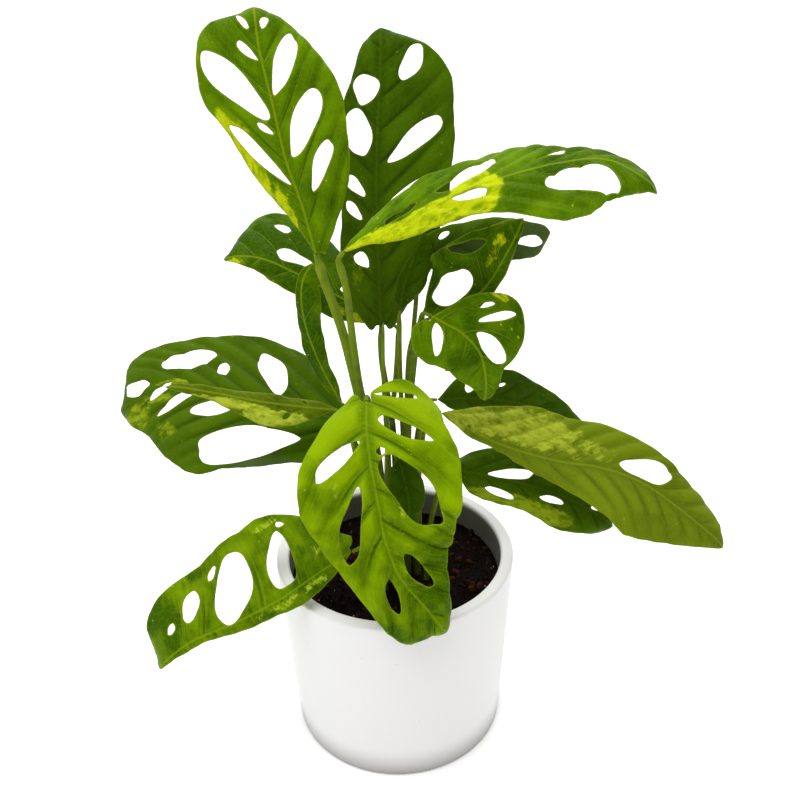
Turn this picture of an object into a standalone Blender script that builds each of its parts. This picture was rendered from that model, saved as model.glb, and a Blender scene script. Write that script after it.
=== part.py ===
"""A monstera adansonii in a plain white pot: a tapered ceramic pot, its soil, and
seventeen holed leaf blades, each on its own stem. Metres, +Z up, pot axis on Z,
resting on Z = 0, the full side of the plant toward -Y."""

import math

import bpy
from mathutils import Vector
from mathutils.geometry import delaunay_2d_cdt

for old in list(bpy.data.objects):
    bpy.data.objects.remove(old)

MM = 0.001
FIT = 0.3 * MM  # clearance left wherever two pieces meet

# Pot
POT_HEIGHT = 120 * MM
POT_TOP_RADIUS = 70 * MM
POT_BASE_RADIUS = 63.5 * MM
POT_WALL = 7.5 * MM
POT_FLOOR = 9 * MM
POT_EDGE = 2.5 * MM  # rounding of the rim and of the foot
POT_STEPS = 56

# Soil
SOIL_BELOW_RIM = 17 * MM
SOIL_LUMP = 1.6 * MM
SOIL_FLAT_RADIUS = 24 * MM  # level patch that the stems rise from
SOIL_RINGS = 7
SOIL_STEPS = 30

# Leaves and stems
LEAF_THICKNESS = 0.9 * MM
LEAF_SCALE = 1.0  # blade widths and holes against their own lengths
LEAF_RIPPLE = 1.0 * MM
MARGIN_STEP = 8 * MM
INNER_STEP = 12 * MM
HOLE_POINTS = 9
STEM_SCALE = 1.0  # stem thickness
NOTCH = 5 * MM * STEM_SCALE  # opening between the lobes, where the stem comes in
STATIONS = (0.0, 0.1, 0.25, 0.4, 0.55, 0.7, 0.85, 0.95)

SOIL_TOP = POT_HEIGHT - SOIL_BELOW_RIM

part = bpy.data.collections.new("potted_monstera")
bpy.context.scene.collection.children.link(part)


def material(name, colour, roughness):
    made = bpy.data.materials.new(name)
    made.use_nodes = True
    shader = made.node_tree.nodes["Principled BSDF"]
    shader.inputs["Base Color"].default_value = (*colour, 1.0)
    shader.inputs["Roughness"].default_value = roughness
    return made


def add_object(name, data, surface):
    made = bpy.data.objects.new(name, data)
    data.materials.append(surface)
    part.objects.link(made)
    return made


def smooth_path(points, steps=24):
    """A curve through the points, as evenly spaced positions."""
    points = [Vector(point) for point in points]
    ends = [2 * points[0] - points[1], *points, 2 * points[-1] - points[-2]]
    raw = []
    for i in range(len(ends) - 3):
        a, b, c, d = ends[i : i + 4]
        for k in range(steps):
            t = k / steps
            raw.append(
                0.5 * (2 * b + (c - a) * t + (2 * a - 5 * b + 4 * c - d) * t**2
                       + (3 * b - a - 3 * c + d) * t**3)
            )
    raw.append(points[-1].copy())
    return raw


class Line:
    """Positions along a curve by distance from its start."""

    def __init__(self, points):
        self.points = smooth_path(points)
        self.marks = [0.0]
        for a, b in zip(self.points, self.points[1:]):
            self.marks.append(self.marks[-1] + (b - a).length)
        self.length = self.marks[-1]

    def at(self, distance):
        distance = min(max(distance, 0.0), self.length)
        for i in range(1, len(self.marks)):
            if distance <= self.marks[i]:
                span = self.marks[i] - self.marks[i - 1]
                t = (distance - self.marks[i - 1]) / span if span > 0 else 0.0
                return self.points[i - 1].lerp(self.points[i], t)
        return self.points[-1].copy()

    def direction(self, distance):
        step = 0.02 * self.length
        distance = min(max(distance, step), self.length - step)
        return (self.at(distance + step) - self.at(distance - step)).normalized()


# ---------------------------------------------------------------- pot
# Turned body: outer wall, rounded rim, inner wall and floor, open above.
def rounded(corner, before, after, radius, count=4):
    """Points that round one corner of a profile."""
    corner = Vector(corner)
    to_before = (Vector(before) - corner).normalized()
    to_after = (Vector(after) - corner).normalized()
    start = corner + to_before * radius
    end = corner + to_after * radius
    points = []
    for i in range(count + 1):
        t = i / count
        points.append((1 - t) ** 2 * start + 2 * t * (1 - t) * corner + t**2 * end)
    return points


POT_INNER_TOP = POT_TOP_RADIUS - POT_WALL
POT_INNER_BASE = POT_BASE_RADIUS - POT_WALL
rim_out = (POT_TOP_RADIUS, POT_HEIGHT)
rim_in = (POT_INNER_TOP, POT_HEIGHT)
foot = (POT_BASE_RADIUS, 0.0)
floor_edge = (POT_INNER_BASE, POT_FLOOR)
profile = [Vector((0.0, 0.0))]
profile += rounded(foot, (0.0, 0.0), rim_out, POT_EDGE, 3)
profile += rounded(rim_out, foot, rim_in, POT_EDGE)
profile += rounded(rim_in, rim_out, floor_edge, POT_EDGE)
profile += rounded(floor_edge, rim_in, (0.0, POT_FLOOR), 2 * POT_EDGE, 3)
profile.append(Vector((0.0, POT_FLOOR)))


def turned(name, outline, steps, surface):
    mesh = bpy.data.meshes.new(name)
    edges = [(i, i + 1) for i in range(len(outline) - 1)]
    mesh.from_pydata([(p[0], 0.0, p[1]) for p in outline], edges, [])
    made = add_object(name, mesh, surface)
    spin = made.modifiers.new("turn", "SCREW")
    spin.axis = "Z"
    spin.steps = steps
    spin.render_steps = steps
    spin.use_merge_vertices = True
    spin.merge_threshold = 0.00001
    spin.use_normal_calculate = True
    return made


turned("pot", profile, POT_STEPS, material("white_glaze", (0.86, 0.85, 0.83), 0.25))


# ---------------------------------------------------------------- soil
# Fills the pot from its floor; level in the middle, lumpy toward the wall.
def pot_inner_radius(height):
    t = (height - POT_FLOOR) / (POT_HEIGHT - POT_FLOOR)
    return POT_INNER_BASE + (POT_INNER_TOP - POT_INNER_BASE) * t


def soil_height(x, y):
    reach = math.hypot(x, y)
    edge = pot_inner_radius(SOIL_TOP) - FIT
    share = max(0.0, (reach - SOIL_FLAT_RADIUS) / (edge - SOIL_FLAT_RADIUS))
    lump = math.sin(x / MM * 0.21 + 1.0) * math.sin(y / MM * 0.17 + 0.4)
    lump += 0.6 * math.sin(x / MM * 0.11 - y / MM * 0.24)
    return SOIL_TOP + SOIL_LUMP * lump * math.sin(math.pi * min(share, 1.0))


soil_points = [(0.0, 0.0, soil_height(0.0, 0.0))]
soil_edge = pot_inner_radius(SOIL_TOP) - FIT
soil_foot = pot_inner_radius(POT_FLOOR) - FIT
for ring in range(1, SOIL_RINGS + 1):
    reach = soil_edge * ring / SOIL_RINGS
    for k in range(SOIL_STEPS):
        turn = 2 * math.pi * k / SOIL_STEPS
        x, y = reach * math.cos(turn), reach * math.sin(turn)
        soil_points.append((x, y, soil_height(x, y)))
# The lower corner clears the rounding where the pot's wall meets its floor.
below = [
    (pot_inner_radius(POT_FLOOR + 3 * POT_EDGE) - FIT, POT_FLOOR + 3 * POT_EDGE),
    (soil_foot - 2.2 * POT_EDGE, POT_FLOOR + FIT),
]
for reach, height in below:
    for k in range(SOIL_STEPS):
        turn = 2 * math.pi * k / SOIL_STEPS
        soil_points.append((reach * math.cos(turn), reach * math.sin(turn), height))
soil_points.append((0.0, 0.0, POT_FLOOR + FIT))
soil_faces = []
for k in range(SOIL_STEPS):
    after = (k + 1) % SOIL_STEPS
    soil_faces.append((0, 1 + k, 1 + after))
    for ring in range(SOIL_RINGS + 1):
        a = 1 + ring * SOIL_STEPS
        b = a + SOIL_STEPS
        soil_faces.append((a + k, b + k, b + after, a + after))
    last = 1 + (SOIL_RINGS + 1) * SOIL_STEPS
    soil_faces.append((last + k, len(soil_points) - 1, last + after))
soil_mesh = bpy.data.meshes.new("soil")
soil_mesh.from_pydata(soil_points, [], soil_faces)
add_object("soil", soil_mesh, material("dark_soil", (0.04, 0.025, 0.015), 0.95))


# ---------------------------------------------------------------- leaves
# A blade follows a midrib, its points in millimetres with the height above the
# soil; the two that hang over the rim are placed by the rim. Half widths left and
# right are given at STATIONS, the left being on the left seen from above the leaf
# with its tip away. A hole is (place along 0-1, distance across with right
# positive, length, width, slant from the midrib in degrees); a slit that passes
# the margin is open to it.
def across_at(widths, along):
    """Half width at a place along the blade, 0 at the tip."""
    marks = [*STATIONS, 1.0]
    values = [*widths, 0.0]
    along = min(max(along, 0.0), 1.0)
    for i in range(1, len(marks)):
        if along <= marks[i]:
            t = (along - marks[i - 1]) / (marks[i] - marks[i - 1])
            return values[i - 1] + (values[i] - values[i - 1]) * t
    return 0.0


def above_soil(point):
    """A point given in millimetres, with its height above the soil, in metres."""
    x, y, height = point
    return Vector((x * MM, y * MM, SOIL_TOP + height * MM))


class Blade:
    def __init__(self, number, midrib, face, left, right, fold=(0, 0), droop=2,
                 holes=(), tip_face=None, lobes=None):
        self.line = Line([above_soil(point) for point in midrib])
        self.length = self.line.length
        self.face = Vector(face)
        self.tip_face = Vector(tip_face or face)
        self.widths = [[w * MM * LEAF_SCALE for w in side] for side in (left, right)]
        self.fold = [math.radians(angle) for angle in fold]
        self.droop = droop * MM
        self.holes = holes
        self.lobes = lobes
        self.phase = number * 1.7

    def frame(self, along):
        forward = self.line.direction(along * self.length)
        up = self.face.lerp(self.tip_face, min(max(along, 0.0), 1.0))
        up = (up - forward * up.dot(forward)).normalized()
        return forward, up, forward.cross(up)

    def place(self, x, y):
        """Position of the flat blade's point x along and y across."""
        along = x / self.length
        forward, up, right = self.frame(along)
        side = 1 if y > 0 else 0
        width = max(across_at(self.widths[side], along), 6 * MM)
        share = min(abs(y) / width, 1.3)
        rise = abs(y) * math.sin(self.fold[side]) - self.droop * share**2
        wave = math.sin(along * 17 + self.phase + 2.4 * side)
        rise += LEAF_RIPPLE * wave * share**2
        base = self.line.at(x) + forward * min(x, 0.0)
        return base + right * y * math.cos(self.fold[side]) + up * rise

    def outline(self):
        """The margin as a closed loop of flat points."""
        corners = []
        for side, sign in ((1, 1), (0, -1)):
            widths = self.widths[side]
            run = []
            if widths[0] > NOTCH:
                lobe = self.lobes[side] * MM if self.lobes else 0.3 * widths[0]
                run.append(Vector((0.0, sign * 0.5 * NOTCH)))
                run.append(Vector((-0.5 * lobe, sign * 0.7 * NOTCH)))
                run.append(Vector((-lobe, sign * max(0.55 * widths[0], NOTCH))))
                run.append(Vector((0.0, sign * widths[0])))
            for station, width in zip(STATIONS[1:], widths[1:]):
                run.append(Vector((station * self.length, sign * width)))
            corners.append(run)
        tip = Vector((self.length, 0.0))
        loop = [Vector((0.0, 0.0)), *corners[0], tip, *reversed(corners[1])]
        points = []
        total = len(loop)
        for i in range(total):
            a, b, c, d = (loop[(i + k) % total] for k in (-1, 0, 1, 2))
            if c == tip or b == tip or i in (0, total - 1):
                bend = 0.35
            else:
                bend = 1.0
            count = max(1, round((c - b).length / MARGIN_STEP))
            for k in range(count):
                t = k / count
                curve = 0.5 * (2 * b + (c - a) * t + (2 * a - 5 * b + 4 * c - d) * t**2
                               + (3 * b - a - 3 * c + d) * t**3)
                points.append(b.lerp(c, t).lerp(curve, bend))
        return points

    def hole_loops(self):
        loops = []
        for along, across, length, width, slant in self.holes:
            centre = Vector((along * self.length, across * MM * LEAF_SCALE))
            angle = math.radians(slant) * (1 if across > 0 else -1)
            major = Vector((math.cos(angle), math.sin(angle)))
            minor = Vector((-major.y, major.x))
            loop = []
            for k in range(HOLE_POINTS):
                turn = 2 * math.pi * (k + 0.5) / HOLE_POINTS
                reach = major * math.cos(turn) * length + minor * math.sin(turn) * width
                loop.append(centre + reach * 0.5 * MM * LEAF_SCALE)
            loops.append(loop)
        return loops


def inside(point, loop):
    """Whether a flat point lies in a closed loop."""
    result = False
    for a, b in zip(loop, [*loop[1:], loop[0]]):
        if (a.y > point.y) != (b.y > point.y):
            if point.x < a.x + (b.x - a.x) * (point.y - a.y) / (b.y - a.y):
                result = not result
    return result


def nearest(point, loops):
    return min((point - other).length for loop in loops for other in loop)


def largest_patch(faces):
    """The faces of the biggest patch joined by edges."""
    by_edge = {}
    for index, face in enumerate(faces):
        for a, b in zip(face, [*face[1:], face[0]]):
            by_edge.setdefault(frozenset((a, b)), []).append(index)
    patch = [-1] * len(faces)
    sizes = []
    for start in range(len(faces)):
        if patch[start] >= 0:
            continue
        stack = [start]
        patch[start] = len(sizes)
        count = 0
        while stack:
            current = faces[stack.pop()]
            count += 1
            for a, b in zip(current, [*current[1:], current[0]]):
                for other in by_edge[frozenset((a, b))]:
                    if patch[other] < 0:
                        patch[other] = len(sizes)
                        stack.append(other)
        sizes.append(count)
    best = sizes.index(max(sizes))
    return [face for face, owner in zip(faces, patch) if owner == best]


def add_leaf(name, blade, surface):
    """Triangulates the flat blade around its holes, bends it and thickens it."""
    outline = blade.outline()
    holes = blade.hole_loops()
    loops = [outline, *holes]
    points = []
    edges = []
    for loop in loops:
        first = len(points)
        points += loop
        for k in range(len(loop)):
            edges.append((first + k, first + (k + 1) % len(loop)))
    columns = math.ceil(blade.length / INNER_STEP)
    for i in range(-1, columns + 1):
        for j in range(-6, 7):
            inner = Vector(((i + 0.5 * (j % 2)) * INNER_STEP, j * INNER_STEP * 0.87))
            if not inside(inner, outline) or any(inside(inner, hole) for hole in holes):
                continue
            if nearest(inner, loops) > 0.42 * INNER_STEP:
                points.append(inner)
    flat, _, triangles, _, _, _ = delaunay_2d_cdt(points, edges, [], 0, 1e-6)
    kept = []
    for triangle in triangles:
        middle = sum((flat[i] for i in triangle), Vector((0.0, 0.0))) / 3
        if inside(middle, outline) and not any(inside(middle, hole) for hole in holes):
            kept.append(tuple(triangle))
    kept = largest_patch(kept)
    used = sorted({i for triangle in kept for i in triangle})
    index = {old: new for new, old in enumerate(used)}
    mesh = bpy.data.meshes.new(name)
    mesh.from_pydata(
        [blade.place(flat[i].x, flat[i].y) for i in used],
        [],
        [[index[i] for i in triangle] for triangle in kept],
    )
    made = add_object(name, mesh, surface)
    shell = made.modifiers.new("thickness", "SOLIDIFY")
    shell.thickness = LEAF_THICKNESS
    shell.offset = 0.0
    return made


BRIGHT = (0.25, 0.46, 0.02)
MID = (0.11, 0.24, 0.015)
RIM = POT_TOP_RADIUS / MM
DARK = (0.05, 0.13, 0.01)
PALE = (0.28, 0.38, 0.08)

LEAVES = {
    "upright": (
        MID,
        dict(
            midrib=[(-35, 2, 202), (-40, 5, 225), (-47, 10, 248), (-52, 17, 273),
                    (-57, 25, 297), (-59, 33, 316)],
            face=(0.1, -1, 0.15), tip_face=(0.1, -1, 0.3), fold=(8, 8), droop=3,
            left=(0, 4, 12, 18, 25, 32, 30, 21), right=(6, 14, 27, 32, 34, 31, 22, 12),
            holes=[(0.94, -6, 12, 4, 34), (0.93, 4, 6, 4, 22), (0.83, -6, 12, 4, 40),
                   (0.71, -15, 42, 13, 35), (0.53, -6, 9, 3, 44), (0.44, -12, 38, 6, 32),
                   (0.76, 10, 30, 10, 28), (0.52, 13, 34, 12, 32), (0.34, 16, 27, 8, 34)],
        ),
    ),
    "rear_tall": (
        DARK,
        dict(
            midrib=[(-4, 31, 148), (-4, 36, 188), (-4, 42, 222), (-2, 50, 256),
                    (0, 57, 280), (1, 64, 300)],
            face=(0.1, -1, 0.2), tip_face=(0, -1, 0.3), fold=(5, 5), droop=3,
            left=(8, 16, 20, 19, 19, 20, 14, 9), right=(9, 18, 29, 37, 40, 40, 37, 23),
            holes=[(0.8, -7, 19, 16, -11), (0.66, -10, 24, 14, 12), (0.49, -11, 14, 6, 44),
                   (0.41, -12, 12, 5, 38), (0.24, -9, 10, 7, 39), (0.89, 16, 24, 12, 28),
                   (0.65, 20, 36, 10, 48), (0.48, 19, 29, 6, 55)],
        ),
    ),
    "right_high": (
        MID,
        dict(
            midrib=[(-20, -12, 208), (8, -14, 223), (27, -16, 234), (55, -18, 244),
                    (82, -20, 251), (105, -22, 252), (129, -25, 239)],
            face=(0, -0.35, 1), fold=(0, -12), droop=3,
            left=(5, 18, 24, 26, 24, 16, 11, 9), right=(0, 4, 10, 13, 21, 30, 22, 6),
            holes=[(0.42, -11, 32, 11, 20), (0.42, 4, 17, 6, 7), (0.67, -8, 13, 4, 5),
                   (0.76, 11, 42, 15, 6), (0.2, -5, 18, 5, 5)],
        ),
    ),
    "left_back": (
        MID,
        dict(
            midrib=[(2, 42, 144), (-26, 49, 157), (-49, 55, 169), (-71, 60, 178),
                    (-93, 63, 179)],
            face=(0, -0.6, 1), droop=3,
            left=(3, 6, 11, 12, 11, 9, 6, 3), right=(2, 10, 20, 26, 33, 37, 32, 16),
            holes=[(0.75, 25, 8, 5, 11), (0.63, 9, 21, 8, -6), (0.25, 8, 18, 7, -16)],
        ),
    ),
    "narrow_dark": (
        DARK,
        dict(
            midrib=[(7, 16, 164), (9, 17, 176), (14, 18, 191), (20, 19, 206)],
            face=(0, -1, 0.3), fold=(5, 5), droop=1,
            left=(2, 4, 4, 4, 3, 2, 1.5, 1), right=(2, 5, 9, 11, 11, 11, 7, 3),
        ),
    ),
    "oval_window": (
        MID,
        dict(
            midrib=[(22, 4, 163), (38, 4, 169), (52, 5, 181), (63, 6, 200), (70, 7, 215)],
            face=(0, -1, 0.3), fold=(5, 5), droop=2,
            left=(7, 21, 30, 31, 30, 25, 15, 7), right=(2, 4, 6, 6, 5, 4, 3, 2),
            holes=[(0.27, -11, 31, 15, 5), (0.65, -20, 22, 7, -45)],
        ),
    ),
    "grey_green": (
        DARK,
        dict(
            midrib=[(18, 20, 189), (34, 20, 198), (52, 20, 203), (70, 19, 206),
                    (86, 18, 204)],
            face=(0, -1, 0.4), droop=2,
            left=(4, 9, 10, 9, 8, 6, 4, 3), right=(4, 11, 14, 15, 15, 16, 15, 11),
            holes=[(0.24, -6, 6, 3, 10), (0.85, 6, 16, 6, -5)],
        ),
    ),
    "right_mid": (
        MID,
        dict(
            midrib=[(23, -10, 171), (38, -14, 163), (47, -18, 153), (50, -20, 139),
                    (50, -20, 125)],
            face=(0.1, -1, 0.6), tip_face=(0.1, -1, 0.4), fold=(10, 0), droop=2,
            left=(4, 10, 23, 31, 24, 11, 6, 3), right=(20, 22, 21, 20, 19, 15, 7, 3),
            holes=[(0.52, -7, 17, 9, 15), (0.39, -18, 18, 3, 68), (0.3, -19, 8, 2, 62),
                   (0.13, 9, 17, 6, 60)],
        ),
    ),
    "right_rear": (
        DARK,
        dict(
            midrib=[(27, 16, 108), (51, 27, 102), (76, 37, 92), (98, 45, 79),
                    (122, 51, 60)],
            face=(0, -1, 0.5), droop=2,
            left=(4, 10, 16, 18, 15, 11, 7, 4), right=(2, 6, 11, 14, 15, 14, 11, 5),
            holes=[(0.19, -7, 10, 6, 35), (0.36, -9, 5, 2, 20)],
        ),
    ),
    "right_long": (
        PALE,
        dict(
            midrib=[(28, -6, 112), (49, -8, 98), (70, -12, 90), (92, -16, 85),
                    (113, -20, 83), (134, -26, 77), (155, -32, 63), (181, -40, 42)],
            face=(0, -0.75, 1), tip_face=(0.2, -0.75, 0.8), fold=(5, 5), droop=3,
            left=(5, 15, 27, 27, 25, 20, 15, 9), right=(2, 3, 5, 13, 24, 30, 18, 7),
            holes=[(0.66, -8, 28, 12, 14)],
        ),
    ),
    "right_low": (
        DARK,
        dict(
            midrib=[(36, 2, 70), (59, 2, 64), (81, 0, 58), (105, -2, 48),
                    (128, -6, 33)],
            face=(0, -0.9, 0.9), droop=3,
            left=(6, 13, 18, 18, 14, 10, 7, 3), right=(4, 11, 14, 14, 17, 18, 14, 7),
            holes=[(0.32, -4, 26, 6, 14), (0.27, 8, 18, 4, 8), (0.58, 4, 15, 4, -5),
                   (0.85, -3, 8, 3, 20)],
        ),
    ),
    "front": (
        BRIGHT,
        dict(
            midrib=[(-12, -0.29 * RIM, 128), (-12, -0.49 * RIM, 119),
                    (-10, -0.69 * RIM, 105), (-7, -0.83 * RIM, 90),
                    (-4, -0.94 * RIM, 73), (3, -1.03 * RIM, 54),
                    (15, -1.09 * RIM, 38), (27, -1.14 * RIM, 21)],
            face=(0, -1, 1), tip_face=(0, -1, 0.6), droop=3, lobes=(14, 5),
            left=(36, 40, 45, 44, 38, 31, 17, 8), right=(12, 24, 37, 40, 31, 23, 24, 18),
            holes=[(0.22, 17, 29, 9, 57), (0.46, 15, 38, 10, 20), (-0.03, -16, 24, 4, 84),
                   (0.13, -19, 31, 8, 59), (0.21, -6, 5, 4, 88), (0.38, -18, 48, 19, 28),
                   (0.71, -9, 27, 8, 4), (0.74, 9, 17, 6, 24)],
        ),
    ),
    "left_low": (
        BRIGHT,
        dict(
            midrib=[(-0.33 * RIM, -0.57 * RIM, 46), (-0.57 * RIM, -0.66 * RIM, 38),
                    (-0.89 * RIM, -0.77 * RIM, 26), (-1.24 * RIM, -0.86 * RIM, 16),
                    (-1.6 * RIM, -0.91 * RIM, 6), (-1.89 * RIM, -0.94 * RIM, -11)],
            face=(0, -0.6, 1), tip_face=(-0.2, -0.8, 0.8), droop=3,
            left=(4, 5, 8, 7, 5, 4, 3, 2), right=(14, 34, 47, 48, 44, 37, 32, 22),
            holes=[(0.28, 19, 33, 16, -68), (0.53, 19, 41, 22, -62), (0.61, 31, 10, 4, -45),
                   (0.74, 18, 17, 9, -66), (0.84, 12, 6, 4, -50), (0.2, 37, 5, 3, 41)],
        ),
    ),
    "left_big": (
        DARK,
        dict(
            midrib=[(-30, 14, 98), (-52, 23, 100), (-76, 32, 102), (-99, 40, 102),
                    (-122, 46, 101), (-144, 50, 97), (-165, 52, 88)],
            face=(0, -0.6, 1), tip_face=(-0.2, -0.6, 0.9), droop=3,
            left=(25, 31, 40, 45, 50, 42, 26, 14), right=(9, 22, 37, 42, 42, 39, 34, 25),
            holes=[(0.69, 23, 31, 13, -13), (0.54, 17, 8, 8, 0), (0.33, 19, 32, 14, 49),
                   (0.9, 8, 17, 11, 6), (0.79, 2, 16, 5, -35), (0.7, -5, 30, 7, 37),
                   (0.53, -9, 29, 10, 13), (0.34, -28, 64, 22, 17)],
        ),
    ),
    "left_slim": (
        PALE,
        dict(
            midrib=[(-28, 0, 112), (-49, -2, 116), (-70, -4, 121), (-93, -6, 128),
                    (-118, -8, 135)],
            face=(0, -0.7, 1), droop=2,
            left=(2, 4, 10, 13, 9, 5, 3, 2), right=(3, 4, 6, 6, 5, 4, 3, 2),
            holes=[(0.3, -6, 5, 3, 40), (0.2, 3, 4, 2, 38)],
        ),
    ),
    "folded": (
        MID,
        dict(
            midrib=[(-27, 10, 111), (-37, 13, 133), (-44, 16, 156), (-45, 18, 176),
                    (-40, 20, 190)],
            face=(-0.5, -0.9, 0.2), tip_face=(-0.5, -0.9, 0.4), droop=1,
            left=(2, 4, 7, 7, 5, 4, 4, 3), right=(1, 3, 5, 7, 8, 12, 10, 6),
        ),
    ),
    "small_inner": (
        DARK,
        dict(
            midrib=[(4, -16, 90), (7, -20, 77), (9, -23, 65), (8, -26, 53)],
            face=(0, -1, 0.8), droop=1,
            left=(2, 5, 8, 10, 10, 8, 5, 3), right=(2, 5, 8, 10, 10, 9, 7, 3),
        ),
    ),
}

# ---------------------------------------------------------------- stems
# Each runs from the soil through these points to its leaf's base, thick below.
STEMS = {
    "upright": (3.0, [(-9, 1), (-10, 1, 38), (-11, 1, 86), (-17, 1, 120),
                      (-24, 3, 158), (-32, 3, 188)]),
    "rear_tall": (2.0, [(1, 10), (2, 9, 57), (1, 9, 95), (-2, 14, 118), (-4, 23, 131)]),
    "right_high": (2.4, [(-4, -9), (-5, -9, 42), (-8, -8, 90), (-15, -8, 125),
                         (-18, -8, 155), (-20, -9, 186)]),
    "left_back": (1.7, [(-3, 17), (-3, 18, 67), (3, 28, 112)]),
    "narrow_dark": (1.5, [(8, 7), (7, 8, 67), (6, 11, 127)]),
    "oval_window": (2.3, [(7, 0), (7, 2, 50), (8, 4, 83), (10, 6, 114), (12, 5, 144)]),
    "grey_green": (1.6, [(9, 14), (10, 14, 77), (13, 18, 137), (16, 20, 172)]),
    "right_mid": (1.7, [(7, -8), (8, -7, 77), (12, -4, 127), (16, -3, 159)]),
    "right_rear": (1.7, [(15, 9), (15, 9, 57), (18, 12, 87)]),
    "right_long": (2.0, [(13, -3), (13, -2, 67), (16, -2, 102)]),
    "right_low": (1.6, [(18, -8), (20, -6, 32), (26, -1, 57)]),
    "front": (2.2, [(-11, -12), (-11, -14, 67), (-11, -14, 109)]),
    "left_low": (1.8, [(-6, -16), (-8, -20, 23), (-13, -30, 37)]),
    "left_big": (2.1, [(-13, 12), (-14, 12, 47), (-20, 12, 79)]),
    "left_slim": (1.6, [(-15, -5), (-16, -5, 47), (-20, -3, 87)]),
    "folded": (1.6, [(-16, 6), (-17, 7, 47), (-22, 8, 89)]),
    "small_inner": (1.4, [(2, -15), (2, -16, 47), (3, -15, 75)]),
}


def add_stem(name, foot_xy, middle, neck, end, thickness, surface, taper):
    """A round tapering rod from just above the soil, with a straight last part."""
    points = [(foot_xy[0] * MM, foot_xy[1] * MM, SOIL_TOP + FIT)]
    points += [above_soil(point) for point in middle]
    line = Line([*points, neck])
    count = max(5, round(line.length / (16 * MM)))
    places = [line.at(line.length * i / count) for i in range(count + 1)]
    places.append(end)
    curve = bpy.data.curves.new(name, "CURVE")
    curve.dimensions = "3D"
    curve.bevel_depth = thickness * MM * STEM_SCALE
    curve.bevel_resolution = 2
    curve.use_fill_caps = True
    curve.render_resolution_u = 0
    spline = curve.splines.new("POLY")
    spline.points.add(count + 1)
    for i, place in enumerate(places):
        spline.points[i].co = (*place, 1.0)
        spline.points[i].radius = 1.0 + (taper - 1.0) * i / (count + 1)
    return add_object(name, curve, surface)


stem_green = material("stem_green", (0.16, 0.26, 0.03), 0.5)
leaf_surfaces = {}
for number, (name, (colour, shape)) in enumerate(LEAVES.items()):
    if colour not in leaf_surfaces:
        leaf_surfaces[colour] = material(f"leaf_green_{len(leaf_surfaces)}", colour, 0.45)
    blade = Blade(number, **shape)
    add_leaf(f"leaf_{name}", blade, leaf_surfaces[colour])
    thickness, route = STEMS[name]
    forward, up, _ = blade.frame(0.0)
    root = blade.line.at(0.0)
    neck = root - forward * 5 * MM - up * 2.5 * MM
    end = root - forward * (2 * FIT) - up * FIT
    add_stem(f"stem_{name}", route[0], route[1:], neck, end, thickness, stem_green, 0.85)

# The newest leaf, still rolled into a spear.
add_stem("new_leaf_spear", (-3, 2), [(-2, 1, 77)], above_soil((-3, 1, 130)),
         above_soil((-2, 0, 164)), 2.2, stem_green, 0.3)
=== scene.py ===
import math

import bpy
import numpy as np
from mathutils import Matrix, Vector
from mathutils.geometry import delaunay_2d_cdt
from mathutils.kdtree import KDTree


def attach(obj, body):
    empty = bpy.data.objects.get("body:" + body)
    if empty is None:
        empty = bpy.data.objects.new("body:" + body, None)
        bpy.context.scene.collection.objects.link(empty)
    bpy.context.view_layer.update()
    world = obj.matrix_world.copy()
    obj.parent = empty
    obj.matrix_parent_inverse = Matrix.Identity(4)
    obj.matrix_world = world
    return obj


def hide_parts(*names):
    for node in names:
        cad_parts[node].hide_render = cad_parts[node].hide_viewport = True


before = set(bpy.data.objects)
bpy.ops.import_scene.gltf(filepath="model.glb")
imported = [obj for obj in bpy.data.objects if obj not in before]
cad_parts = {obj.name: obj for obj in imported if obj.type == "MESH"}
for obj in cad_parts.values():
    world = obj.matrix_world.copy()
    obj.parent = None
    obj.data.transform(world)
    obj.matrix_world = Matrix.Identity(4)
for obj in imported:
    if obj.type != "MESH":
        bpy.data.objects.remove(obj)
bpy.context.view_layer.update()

scene = bpy.context.scene
MM = 0.001

# ---------------------------------------------------------------- studio
# A plain white sweep under broad soft light, with one large softbox up and to
# the left, seen from about thirty degrees above level.
CAMERA_PLACE = (5.53, -474.3, 485.0)
CAMERA_PITCH = 90 - 29.16
CAMERA_ROLL = -1.59
SWEEP_REACH = 12.0
BEND_START = 1.0
BEND_RADIUS = 0.9
SWEEP_TOP = 3.0
SWEEP_GLOW = 0.3
AIR_GLOW = 0.3

camera_data = bpy.data.cameras.new("camera")
camera_data.lens = 45
camera_data.sensor_width = 36
camera = bpy.data.objects.new("camera", camera_data)
pitch = Matrix.Rotation(math.radians(CAMERA_PITCH), 4, "X")
roll = Matrix.Rotation(math.radians(CAMERA_ROLL), 4, "Z")
camera.matrix_world = Matrix.Translation(Vector(CAMERA_PLACE) * MM) @ (pitch @ roll)
scene.collection.objects.link(camera)
scene.camera = camera
scene.view_settings.view_transform = "Standard"


def studio_sheet(name, points, faces, glow):
    """A plain white sheet that is not part of the plant, with a faint glow of its own."""
    mesh = bpy.data.meshes.new(name)
    mesh.from_pydata(points, [], faces)
    mesh.polygons.foreach_set("use_smooth", [True] * len(mesh.polygons))
    paint = bpy.data.materials.new(name)
    paint.use_nodes = True
    shader = paint.node_tree.nodes["Principled BSDF"]
    shader.inputs["Base Color"].default_value = (0.95, 0.95, 0.95, 1)
    shader.inputs["Roughness"].default_value = 0.9
    shader.inputs["Specular IOR Level"].default_value = 0.1
    shader.inputs["Emission Color"].default_value = (1, 1, 1, 1)
    shader.inputs["Emission Strength"].default_value = glow
    mesh.materials.append(paint)
    sheet = bpy.data.objects.new(name, mesh)
    scene.collection.objects.link(sheet)


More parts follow.
